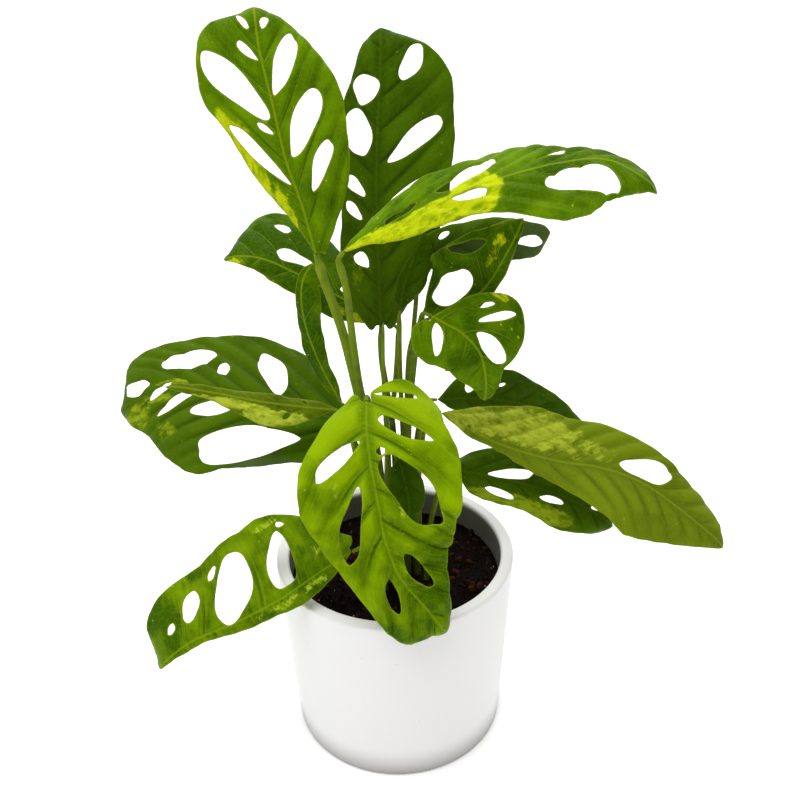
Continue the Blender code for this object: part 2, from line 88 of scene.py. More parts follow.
bend = np.linspace(0, math.pi / 2, 24)
arc = [(BEND_START + BEND_RADIUS * math.sin(a), BEND_RADIUS - BEND_RADIUS * math.cos(a)) for a in bend]
run = [(-SWEEP_REACH, 0.0), (0.0, 0.0), *arc, (BEND_START + BEND_RADIUS, SWEEP_TOP)]
sheet_points = [(side * SWEEP_REACH, y, z) for y, z in run for side in (-1, 1)]
sheet_faces = [(2 * i, 2 * i + 1, 2 * i + 3, 2 * i + 2) for i in range(len(run) - 1)]
studio_sheet("studio_sweep", sheet_points, sheet_faces, SWEEP_GLOW)

world = bpy.data.worlds.new("studio_air")
world.use_nodes = True
air = world.node_tree.nodes["Background"].inputs
air["Color"].default_value = (1, 1, 1, 1)
air["Strength"].default_value = AIR_GLOW
scene.world = world
for name, place, aimed_at, size, power in (
    ("softbox", (-0.3, -0.4, 1.5), (0.0, 0.0, 0.2), 1.0, 15.5),
    ("rear_light", (0.7, 0.6, 1.1), (0.0, 0.0, 0.2), 0.9, 2.5),
    ("sweep_light", (0.0, 1.2, 2.3), (0.0, 1.6, 0.2), 1.6, 20.0),
):
    lamp = bpy.data.lights.new(name, "AREA")
    lamp.size = size
    lamp.energy = power
    lamp_object = bpy.data.objects.new(name, lamp)
    lamp_object.location = place
    aim = Vector(aimed_at) - Vector(place)
    lamp_object.rotation_euler = aim.to_track_quat("-Z", "Y").to_euler()
    scene.collection.objects.link(lamp_object)


# ---------------------------------------------------------------- pot
# Slip-cast ceramic, turned to a slight taper, with a rounded rim and foot and a
# satin white glaze that thins over the edges and shows faint pinholes.
POT_HEIGHT = 120 * MM
POT_TOP_RADIUS = 70 * MM
POT_BASE_RADIUS = 63.5 * MM
POT_WALL = 7.5 * MM
POT_FLOOR = 9 * MM
POT_EDGE = 2.5 * MM
POT_TURNS = 160
GLAZE_GREY = (0.86, 0.852, 0.845, 1)
GLAZE_WHITE = (0.88, 0.874, 0.868, 1)
THIN_GLAZE = (0.78, 0.755, 0.72, 1)
FOOT_GREY = (0.55, 0.52, 0.47, 1)
PINHOLE = (0.45, 0.42, 0.38, 1)
INNER_SHADE_AND_STAIN = (0.07, 0.06, 0.035, 1)


def rounded(corner, before, after, radius, count):
    """Points that round one corner of a profile."""
    corner = np.array(corner)
    to_before = np.array(before) - corner
    to_after = np.array(after) - corner
    start = corner + to_before / np.linalg.norm(to_before) * radius
    end = corner + to_after / np.linalg.norm(to_after) * radius
    t = np.linspace(0, 1, count + 1)[:, None]
    return list((1 - t) ** 2 * start + 2 * t * (1 - t) * corner + t**2 * end)


def straight(start, end, count):
    """Points between two profile points, both left out."""
    return [np.array(start) + (np.array(end) - start) * i / count for i in range(1, count)]


def turned(profile, turns):
    """Points and faces of a closed turned body, its poles on the axis."""
    rings = len(profile) - 2
    points = [(0.0, 0.0, profile[0][1])]
    for k in range(turns):
        c, s = math.cos(2 * math.pi * k / turns), math.sin(2 * math.pi * k / turns)
        points += [(r * c, r * s, z) for r, z in profile[1:-1]]
    points.append((0.0, 0.0, profile[-1][1]))
    faces = []
    for k in range(turns):
        a, b = 1 + k * rings, 1 + (k + 1) % turns * rings
        faces.append((0, b, a))
        faces += [(a + i, b + i, b + i + 1, a + i + 1) for i in range(rings - 1)]
        faces.append((a + rings - 1, b + rings - 1, len(points) - 1))
    return points, faces


def piece(name, points, faces, finish):
    """A smooth-shaded mesh object with its material, linked to the scene."""
    mesh = bpy.data.meshes.new(name)
    mesh.from_pydata([tuple(p) for p in points], [], faces)
    mesh.polygons.foreach_set("use_smooth", [True] * len(mesh.polygons))
    mesh.materials.append(finish)
    made = bpy.data.objects.new(name, mesh)
    scene.collection.objects.link(made)
    return made


def node(tree, kind, inputs=None, **settings):
    """Adds a node; inputs are values or the sockets that feed them."""
    made = tree.nodes.new(kind)
    for key, value in settings.items():
        setattr(made, key, value)
    for key, value in (inputs or {}).items():
        if isinstance(value, bpy.types.NodeSocket):
            tree.links.new(value, made.inputs[key])
        else:
            made.inputs[key].default_value = value
    return made


def first(tree, kind, inputs=None, **settings):
    """Adds a node and gives what it puts out first."""
    return node(tree, kind, inputs, **settings).outputs[0]


def mixed(tree, factor, one, two):
    """The colour between two colours."""
    made = node(tree, "ShaderNodeMix", data_type="RGBA")
    for socket, value in ((made.inputs[0], factor), (made.inputs[6], one), (made.inputs[7], two)):
        if isinstance(value, bpy.types.NodeSocket):
            tree.links.new(value, socket)
        else:
            socket.default_value = value
    return made.outputs[2]


def number(tree, operation, one, two=0.5, three=0.5):
    """One step of arithmetic on values or sockets."""
    return first(tree, "ShaderNodeMath", {0: one, 1: two, 2: three}, operation=operation)


def times(tree, one, two):
    return number(tree, "MULTIPLY", one, two)


def step_mask(tree, value, low, high):
    """0 below low, 1 above high, smooth between; low may be the larger."""
    limits = {"Value": value, "From Min": low, "From Max": high}
    return first(tree, "ShaderNodeMapRange", limits, interpolation_type="SMOOTHSTEP")


def noise(tree, where, scale, detail, **more):
    """Soft noise read at a place."""
    return first(tree, "ShaderNodeTexNoise", {"Vector": where, "Scale": scale, "Detail": detail, **more})


def split(tree, vector):
    """The x, y and z outputs of a vector."""
    return node(tree, "ShaderNodeSeparateXYZ", {0: vector}).outputs


def relief(tree, shader, height, strength, distance):
    """Fine relief that the mesh is too coarse to hold."""
    bump = node(tree, "ShaderNodeBump", {"Height": height, "Strength": strength, "Distance": distance})
    tree.links.new(bump.outputs[0], shader.inputs["Normal"])


def surface(name, **constants):
    """A material whose plain values sit on the shader's own sockets."""
    made = bpy.data.materials.new(name)
    made.use_nodes = True
    shader = made.node_tree.nodes["Principled BSDF"]
    for key, value in constants.items():
        shader.inputs[key.replace("_", " ")].default_value = value
    return made, made.node_tree, shader


rim_out, rim_in = (POT_TOP_RADIUS, POT_HEIGHT), (POT_TOP_RADIUS - POT_WALL, POT_HEIGHT)
foot, floor_edge = (POT_BASE_RADIUS, 0.0), (POT_BASE_RADIUS - POT_WALL, POT_FLOOR)
foot_round = rounded(foot, (0, 0), rim_out, POT_EDGE, 6)
out_round = rounded(rim_out, foot, rim_in, POT_EDGE, 8)
in_round = rounded(rim_in, rim_out, floor_edge, POT_EDGE, 8)
floor_round = rounded(floor_edge, rim_in, (0, POT_FLOOR), 2 * POT_EDGE, 6)
pot_profile = [(0.0, 0.0), *straight((0, 0), foot_round[0], 4), *foot_round]
pot_profile += [*straight(foot_round[-1], out_round[0], 24), *out_round, *in_round]
pot_profile += [*straight(in_round[-1], floor_round[0], 20), *floor_round]
pot_profile += [*straight(floor_round[-1], (0, POT_FLOOR), 4), (0.0, POT_FLOOR)]

white_glaze, tree, shader = surface("white_glaze", Specular_IOR_Level=0.35, Coat_Roughness=0.12)
where = node(tree, "ShaderNodeTexCoord").outputs["Object"]
cloud = noise(tree, where, 14.0, 3.0)
tall = split(tree, where)[2]
glaze_thin = step_mask(tree, tall, POT_HEIGHT - 1.6 * MM, POT_HEIGHT - 0.2 * MM)
darker_at_foot = step_mask(tree, tall, 5 * MM, 0.3 * MM)
pits = node(tree, "ShaderNodeTexVoronoi", {"Vector": where, "Scale": 260.0})
pit_mask = step_mask(tree, pits.outputs["Distance"], 0.13, 0.07)
rare = first(tree, "ShaderNodeSeparateColor", {0: pits.outputs["Color"]})
rare = step_mask(tree, rare, 0.93, 0.95)
pit = times(tree, pit_mask, rare)
colour = mixed(tree, cloud, GLAZE_GREY, GLAZE_WHITE)
colour = mixed(tree, times(tree, glaze_thin, 0.35), colour, THIN_GLAZE)
# Darker and clouded towards the foot.
colour = mixed(tree, times(tree, darker_at_foot, times(tree, cloud, 0.5)), colour, FOOT_GREY)
colour = mixed(tree, times(tree, pit, 0.5), colour, PINHOLE)
# Painted shade, partly peat stain: the inner wall darkens in a band just below the rim.
from_axis = first(tree, "ShaderNodeVectorMath", {0: where, 1: (1, 1, 0)}, operation="MULTIPLY")
from_axis = node(tree, "ShaderNodeVectorMath", {0: from_axis}, operation="LENGTH").outputs["Value"]
inside = step_mask(tree, from_axis, POT_TOP_RADIUS - 0.7 * POT_WALL, POT_TOP_RADIUS - 0.95 * POT_WALL)
shaded_and_stained = times(tree, inside, step_mask(tree, tall, POT_HEIGHT - 0.3 * MM, POT_HEIGHT - 3.5 * MM))
colour = mixed(tree, times(tree, shaded_and_stained, 0.85), colour, INNER_SHADE_AND_STAIN)
tree.links.new(colour, shader.inputs["Base Color"])
worn = number(tree, "MULTIPLY_ADD", cloud, 0.18, 0.3)
tree.links.new(worn, shader.inputs["Roughness"])
peel = noise(tree, where, 420.0, 2.0)
height = number(tree, "SUBTRACT", times(tree, peel, 0.4), pit)
relief(tree, shader, height, 0.12, 0.0004)

points, faces = turned(pot_profile, POT_TURNS)
pot = piece("ceramic_pot", points, faces, white_glaze)
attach(pot, "root")
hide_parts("pot")


# ---------------------------------------------------------------- soil
# Dark peaty potting mix pressed in below the rim, covered with loose crumbs,
# chips of red-brown bark and a few pale grains, all scattered over the bed.
SOIL_TOP = POT_HEIGHT - 17 * MM
SOIL_FLAT_RADIUS = 24 * MM
SOIL_LUMP = 1.6 * MM
FIT = 0.3 * MM
CRUMB_SIZE = (0.9 * MM, 2.0 * MM)
BARK_SIZE = (1.4 * MM, 3.0 * MM)
GRAIN_SIZE = (0.5 * MM, 1.1 * MM)
BED_DEPTH = 20 * MM
FULL_TURN = (6.3, 6.3, 6.3)
BED_TURNS = 120
PEAT_BLACK = (0.0012, 0.0007, 0.0004, 1)
PEAT_BROWN = (0.011, 0.006, 0.0035, 1)
BARK_DARK = (0.012, 0.004, 0.002, 1)
BARK_RED = (0.085, 0.03, 0.014, 1)
GRAIN_PALE = (0.42, 0.4, 0.37, 1)


def pot_inner_radius(height):
    share = (height - POT_FLOOR) / (POT_HEIGHT - POT_FLOOR)
    return POT_BASE_RADIUS - POT_WALL + (POT_TOP_RADIUS - POT_BASE_RADIUS) * share


def soil_lump(x, y):
    """Height of the bed above its level, flat where the stems rise."""
    share = (math.hypot(x, y) - SOIL_FLAT_RADIUS) / (pot_inner_radius(SOIL_TOP) - FIT - SOIL_FLAT_RADIUS)
    share = min(max(share, 0.0), 1.0)
    lump = math.sin(x / MM * 0.21 + 1.0) * math.sin(y / MM * 0.17 + 0.4)
    lump += 0.6 * math.sin(x / MM * 0.11 - y / MM * 0.24)
    fine = math.sin(x / MM * 0.9 + 2 * math.sin(y / MM * 0.5)) * math.sin(y / MM * 0.8 + 1.3)
    return SOIL_LUMP * lump * math.sin(math.pi * share) + 0.35 * MM * fine * min(1, 6 * (1 - share))


def group_input(tree, name, kind, value):
    tree.interface.new_socket(name, in_out="INPUT", socket_type=kind).default_value = value


def new_geometry_tree(name, sizes):
    """A Geometry Nodes tree with a mesh in and out and the named sizes."""
    tree = bpy.data.node_groups.new(name, "GeometryNodeTree")
    tree.interface.new_socket("Geometry", in_out="INPUT", socket_type="NodeSocketGeometry")
    for size, value in sizes.items():
        kind = "NodeSocketInt" if isinstance(value, int) else "NodeSocketFloat"
        group_input(tree, size, kind, value)
    tree.interface.new_socket("Geometry", in_out="OUTPUT", socket_type="NodeSocketGeometry")
    return tree, tree.nodes.new("NodeGroupInput").outputs, tree.nodes.new("NodeGroupOutput")


def grown(base, tree, name, sizes):
    """Applies a tree to an object with these sizes and gives the plain mesh object."""
    growth = base.modifiers.new("growth", "NODES")
    growth.node_group = tree
    for item in tree.interface.items_tree:
        if item.in_out == "INPUT" and item.name in sizes:
            growth[item.identifier] = sizes[item.name]
    bpy.context.view_layer.update()
    result = bpy.data.meshes.new_from_object(base.evaluated_get(bpy.context.evaluated_depsgraph_get()))
    base.modifiers.remove(growth)
    bpy.data.objects.remove(base)
    result.name = name
    made = bpy.data.objects.new(name, result)
    scene.collection.objects.link(made)
    return made


def attribute(tree, name):
    return node(tree, "ShaderNodeAttribute", attribute_name=name).outputs["Fac"]


def stored(tree, geometry, name, value, domain="POINT"):
    """Keeps a value on the geometry for the material to read."""
    kept = {"Geometry": geometry, "Name": name, "Value": value}
    return first(tree, "GeometryNodeStoreNamedAttribute", kept, data_type="FLOAT", domain=domain)


def any_number(tree, low, high, seed):
    limits = {2: low, 3: high, "Seed": seed}
    return node(tree, "FunctionNodeRandomValue", limits, data_type="FLOAT").outputs[1]


def any_vector(tree, low, high, seed):
    limits = {0: low, 1: high, "Seed": seed}
    return first(tree, "FunctionNodeRandomValue", limits, data_type="FLOAT_VECTOR")


def scaled(tree, vector, by):
    return first(tree, "ShaderNodeVectorMath", {0: vector, "Scale": by}, operation="SCALE")


def scatter(tree, bed, shape, density, seed, sizes, flatness, tints):
    """Copies of a shape over the bed, each turned, sized and tinted at random."""
    spread = {"Mesh": bed, "Density": density, "Seed": seed}
    spots = first(tree, "GeometryNodeDistributePointsOnFaces", spread)
    rotation = first(tree, "FunctionNodeEulerToRotation", {0: any_vector(tree, (0, 0, 0), FULL_TURN, 3)})
    size = any_number(tree, *sizes, 5)
    scale = scaled(tree, any_vector(tree, flatness, (1, 1, 1), 7), size)
    laid = {"Points": spots, "Instance": shape, "Rotation": rotation, "Scale": scale}
    copies = first(tree, "GeometryNodeInstanceOnPoints", laid)
    return stored(tree, copies, "tint", any_number(tree, *tints, 11), "INSTANCE")


potting_mix, tree, shader = surface("potting_mix", Specular_IOR_Level=0.03)
where = node(tree, "ShaderNodeTexCoord").outputs["Object"]
tint = attribute(tree, "tint")
grit = noise(tree, where, 380.0, 5.0)
damp = noise(tree, where, 45.0, 2.0)
colour = mixed(tree, grit, PEAT_BLACK, PEAT_BROWN)
bark_grain = noise(tree, where, 900.0, 2.0)
bark = mixed(tree, bark_grain, BARK_DARK, BARK_RED)
colour = mixed(tree, step_mask(tree, tint, 0.45, 0.6), colour, bark)
colour = mixed(tree, step_mask(tree, tint, 0.9, 0.95), colour, GRAIN_PALE)
tree.links.new(colour, shader.inputs["Base Color"])
tree.links.new(number(tree, "MULTIPLY_ADD", damp, 0.5, 0.45), shader.inputs["Roughness"])
relief(tree, shader, grit, 0.8, 0.0008)

loose_soil = {"Crumbs per m2": 240000.0, "Bark per m2": 15000.0, "Grains per m2": 6000.0}
loose_soil.update({"Roughen": 0.45 * MM, "Seed": 4})
tree, given, result = new_geometry_tree("loose_soil", loose_soil)
bed = stored(tree, given["Geometry"], "tint", 0.2)
slope = split(tree, first(tree, "GeometryNodeInputNormal"))[2]
upward = {"operation": "GREATER_THAN", "data_type": "FLOAT"}
faces_up = first(tree, "FunctionNodeCompare", {0: slope, 1: 0.5}, **upward)
top = first(tree, "GeometryNodeSeparateGeometry", {"Geometry": bed, "Selection": faces_up}, domain="FACE")
crumb = first(tree, "GeometryNodeMeshIcoSphere", {"Radius": 0.5, "Subdivisions": 1})
chip = first(tree, "GeometryNodeMeshIcoSphere", {"Radius": 1.0, "Subdivisions": 2})
next_seed = number(tree, "ADD", given["Seed"], 1.0)
third_seed = number(tree, "ADD", given["Seed"], 2.0)
loose = node(tree, "GeometryNodeJoinGeometry")
for shape, kind, seed, sizes, flatness, tints in (
    (crumb, "Crumbs per m2", given["Seed"], CRUMB_SIZE, (0.5, 0.5, 0.4), (0.0, 0.52)),
    (chip, "Bark per m2", next_seed, BARK_SIZE, (0.25, 0.2, 0.15), (0.5, 0.7)),
    (crumb, "Grains per m2", third_seed, GRAIN_SIZE, (0.6, 0.6, 0.6), (0.95, 1.0)),
):
    bits = scatter(tree, top, shape, given[kind], seed, sizes, flatness, tints)
    tree.links.new(bits, loose.inputs[0])
real = first(tree, "GeometryNodeRealizeInstances", {0: loose.outputs[0]})
chaos = node(tree, "ShaderNodeTexNoise", {"Scale": 420.0, "Detail": 1.0}).outputs["Color"]
offset = first(tree, "ShaderNodeVectorMath", {0: chaos, 1: (0.5, 0.5, 0.5)}, operation="SUBTRACT")
shift = scaled(tree, offset, times(tree, given["Roughen"], 4.0))
loosened = first(tree, "GeometryNodeSetPosition", {"Geometry": real, "Offset": shift})
together = node(tree, "GeometryNodeJoinGeometry")
tree.links.new(bed, together.inputs[0])
tree.links.new(loosened, together.inputs[0])
whole = first(tree, "GeometryNodeRealizeInstances", {0: together.outputs[0]})
painted = node(tree, "GeometryNodeSetMaterial", {"Geometry": whole, "Material": potting_mix})
tree.links.new(painted.outputs[0], result.inputs[0])

bed_edge = pot_inner_radius(SOIL_TOP) - FIT
bed_bottom = SOIL_TOP - BED_DEPTH
bed_profile = [(0.0, bed_bottom), (bed_edge - 3 * MM, bed_bottom), (bed_edge - 2 * MM, SOIL_TOP - 3 * MM)]
bed_profile += [(bed_edge * i / 46, SOIL_TOP) for i in range(46, 0, -1)] + [(0.0, SOIL_TOP)]
points, faces = turned(bed_profile, BED_TURNS)
points = [(x, y, z + soil_lump(x, y)) if z > SOIL_TOP - 1 * MM else (x, y, z) for x, y, z in points]
soil = grown(piece("soil_bed", points, faces, potting_mix), tree, "potting_soil", loose_soil)
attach(soil, "root")
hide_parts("soil")


# ---------------------------------------------------------------- leaf finish
# A waxy green skin with a paler midrib, lateral veins and net, cream-yellow sectors
# and a greyer matt underside. Painted shade deepens the green beside the veins and
# along the midrib, the tone paints light and shade along each blade, and the thin
# light margin is partly the paler edge and partly a painted edge highlight.
SKIN_COLOURS = ("Green", "Deep green", "Vein", "Cream", "Underside")


def leaf_skin_group():
    """The shared skin: colours and strengths in, colour, roughness and height out."""
    tree = bpy.data.node_groups.new("leaf_skin", "ShaderNodeTree")
    for name in SKIN_COLOURS:
        group_input(tree, name, "NodeSocketColor", (1, 1, 1, 1))
    for name, value in (
        ("Vein strength", 0.6),
        ("Lateral width", 0.032),
        ("Mottle", 0.5),
        ("Painted crease shade", 0.9),
        ("Gloss", 0.42),
    ):
        group_input(tree, name, "NodeSocketFloat", value)
    for name, kind in (("Colour", "Color"), ("Roughness", "Float"), ("Height", "Float")):
        tree.interface.new_socket(name, in_out="OUTPUT", socket_type=f"NodeSocket{kind}")
    given = tree.nodes.new("NodeGroupInput").outputs
    result = tree.nodes.new("NodeGroupOutput").inputs

    flat = first(tree, "ShaderNodeUVMap", uv_map="blade")
    across = split(tree, flat)[1]
    vein_index, vein_reach, _ = split(tree, first(tree, "ShaderNodeUVMap", uv_map="veins"))
    where = node(tree, "ShaderNodeTexCoord").outputs["Object"]
    own = {name: attribute(tree, name) for name in ("cream", "edge", "under", "tone_and_shade")}

    # Lateral veins stand at whole numbers, the net between them is much finer.
    place = number(tree, "FRACT", vein_index)
    beside = number(tree, "SUBTRACT", 0.5, number(tree, "ABSOLUTE", number(tree, "SUBTRACT", place, 0.5)))
    lateral = step_mask(tree, beside, given["Lateral width"], 0.0)
    fading = step_mask(tree, vein_reach, 1.0, 0.35)
    lateral = times(tree, lateral, fading)
    from_midrib = number(tree, "ABSOLUTE", across)
    midrib = step_mask(tree, from_midrib, 0.0085, 0.003)
    net_at = first(tree, "ShaderNodeMapping", {"Vector": flat, "Scale": (26.0, 34.0, 1.0)})
    net = first(tree, "ShaderNodeTexVoronoi", {"Vector": net_at, "Scale": 1.0}, feature="DISTANCE_TO_EDGE")
    net = step_mask(tree, net, 0.09, 0.02)
    ray_at = first(tree, "ShaderNodeCombineXYZ", {0: times(tree, vein_index, 7.0), 1: vein_reach})
    rays = noise(tree, ray_at, 1.6, 2.0)

    # Broad clouds of deeper green, with painted shade in the valleys beside the veins,
    # darkest just past each vein, and along the midrib.
    cloud = step_mask(tree, noise(tree, where, 38.0, 3.0), 0.38, 0.64)
    painted_valley_shade = times(tree, step_mask(tree, beside, 0.2, 0.02), 0.45)
    painted_shade_past_vein = step_mask(tree, place, 0.4, 0.02)
    painted_valley_shade = times(tree, number(tree, "MAXIMUM", painted_valley_shade, painted_shade_past_vein), fading)
    painted_midrib_shade = times(tree, step_mask(tree, from_midrib, 0.075, 0.01), 0.75)
    painted_crease_shade = number(tree, "MAXIMUM", painted_valley_shade, painted_midrib_shade)
    painted_crease_shade = times(tree, painted_crease_shade, number(tree, "MULTIPLY_ADD", rays, 1.0, 0.35))
    deep = times(tree, cloud, given["Mottle"])
    deep = number(tree, "ADD", deep, times(tree, number(tree, "SUBTRACT", rays, 0.5), 0.5))
    patchy = noise(tree, flat, 5.0, 3.0, Distortion=0.6)
    deep = number(tree, "ADD", deep, times(tree, number(tree, "SUBTRACT", patchy, 0.5), 1.5))
    # The tone deepens or lightens the blade from base to tip, partly its own lightness and partly painted
    # light and shade.
    deep = number(tree, "SUBTRACT", deep, own["tone_and_shade"])
    deep = number(tree, "MAXIMUM", deep, times(tree, painted_crease_shade, given["Painted crease shade"]))
    deep_share = first(tree, "ShaderNodeClamp", {0: deep})
    colour = mixed(tree, deep_share, given["Green"], given["Deep green"])
    light_and_tone_lift = number(tree, "MAXIMUM", own["tone_and_shade"], 0.0)
    colour = mixed(tree, light_and_tone_lift, colour, given["Vein"])
    colour = mixed(tree, times(tree, net, 0.1), colour, given["Vein"])
    shown = times(tree, lateral, given["Vein strength"])
    colour = mixed(tree, shown, colour, given["Vein"])
    colour = mixed(tree, times(tree, midrib, given["Vein strength"]), colour, given["Vein"])

    # Cream sectors with ragged borders, flecked with green; stray pale specks.
    ragged = noise(tree, flat, 14.0, 5.0, Roughness=0.65)
    streaks = noise(tree, ray_at, 3.4, 3.0)
    broken = number(tree, "ADD", times(tree, ragged, 0.9), times(tree, streaks, 0.5))
    sector = number(tree, "ADD", own["cream"], number(tree, "SUBTRACT", broken, 0.7))
    sector = step_mask(tree, sector, 0.42, 0.62)
    drawn_out = first(tree, "ShaderNodeMapping", {"Vector": flat, "Scale": (12.0, 30.0, 1.0)})
    fleck = noise(tree, drawn_out, 1.0, 6.0, Roughness=0.72)
    fleck = step_mask(tree, fleck, 0.44, 0.66)
    cream = mixed(tree, times(tree, fleck, 0.8), given["Cream"], given["Green"])
    colour = mixed(tree, sector, colour, cream)
    specks = node(tree, "ShaderNodeTexVoronoi", {"Vector": flat, "Scale": 34.0})
    speck = step_mask(tree, specks.outputs["Distance"], 0.2, 0.1)
    chosen = first(tree, "ShaderNodeSeparateColor", {0: specks.outputs["Color"]})
    speck = times(tree, speck, step_mask(tree, chosen, 0.9, 0.93))
    colour = mixed(tree, times(tree, speck, 0.6), colour, given["Cream"])

    # A thin lighter line round the margin, partly the paler edge and partly a painted edge highlight.
    margin = step_mask(tree, own["edge"], 0.9, 0.2)
    colour = mixed(tree, times(tree, margin, 0.35), colour, given["Vein"])
    below = mixed(tree, 0.72, colour, given["Underside"])
    colour = mixed(tree, own["under"], colour, below)
    tree.links.new(colour, result["Colour"])
    rough = number(tree, "MULTIPLY_ADD", cloud, 0.1, given["Gloss"])
    rough = number(tree, "MULTIPLY_ADD", own["under"], 0.2, rough)
    tree.links.new(number(tree, "MULTIPLY_ADD", speck, 0.2, rough), result["Roughness"])
    grain = noise(tree, flat, 90.0, 2.0)
    height = number(tree, "MULTIPLY_ADD", net, -0.35, times(tree, grain, 0.4))
    height = number(tree, "MULTIPLY_ADD", lateral, -0.5, height)
    tree.links.new(number(tree, "MULTIPLY_ADD", rays, 0.5, height), result["Height"])
    return tree


leaf_skin = leaf_skin_group()
leaf_finishes = {}
for name, strength, gloss, *colours in (
    ("leaf_bright", 0.3, 0.4, (0.27, 0.43, 0.001), (0.042, 0.105, 0.001),
     (0.32, 0.45, 0.01), (0.42, 0.56, 0.03), (0.2, 0.28, 0.05)),
    ("leaf_mid", 0.42, 0.38, (0.135, 0.26, 0.001), (0.032, 0.09, 0.001),
     (0.3, 0.4, 0.01), (0.52, 0.6, 0.006), (0.12, 0.17, 0.05)),
    ("leaf_dark", 0.18, 0.38, (0.055, 0.125, 0.001), (0.011, 0.035, 0.0005),
     (0.13, 0.21, 0.008), (0.26, 0.34, 0.01), (0.08, 0.12, 0.04)),
    ("leaf_pale", 0.4, 0.44, (0.14, 0.205, 0.003), (0.045, 0.08, 0.002),
     (0.27, 0.34, 0.02), (0.42, 0.5, 0.035), (0.13, 0.17, 0.04)),
):
    made, tree, shader = surface(name, Specular_IOR_Level=0.05, Specular_Tint=(0.75, 1.0, 0.15, 1.0))
    skin = node(tree, "ShaderNodeGroup", node_tree=leaf_skin)
    for key, value in zip(SKIN_COLOURS, colours):
        skin.inputs[key].default_value = (*value, 1.0)
    skin.inputs["Vein strength"].default_value = strength
    # The bright blades get stronger painted crease shade.
    if name == "leaf_bright":
        skin.inputs["Painted crease shade"].default_value = 1.1
    skin.inputs["Gloss"].default_value = gloss
    tree.links.new(skin.outputs["Colour"], shader.inputs["Base Color"])
    tree.links.new(skin.outputs["Roughness"], shader.inputs["Roughness"])
    relief(tree, shader, skin.outputs["Height"], 0.35, 0.0005)
    leaf_finishes[name] = made


# ---------------------------------------------------------------- leaves
# Thin, slightly quilted blades, each grown along a bent midrib that stands out
# below, with a hooked tip and holes between the lateral veins.
LEAF_THICKNESS = 0.5 * MM
LEAF_RIPPLE = 1.0 * MM
MIDRIB_RISE = 0.55 * MM
TIP_HOOK = 3.5 * MM
STRAND = 1.3 * MM
NOTCH = 5 * MM
FINE_STEP = 1.5 * MM
ROW_SPACING = 0.87
WIDEST = 70 * MM
STATIONS = (0.0, 0.1, 0.25, 0.4, 0.55, 0.7, 0.85, 0.95)
RIM = POT_TOP_RADIUS / MM
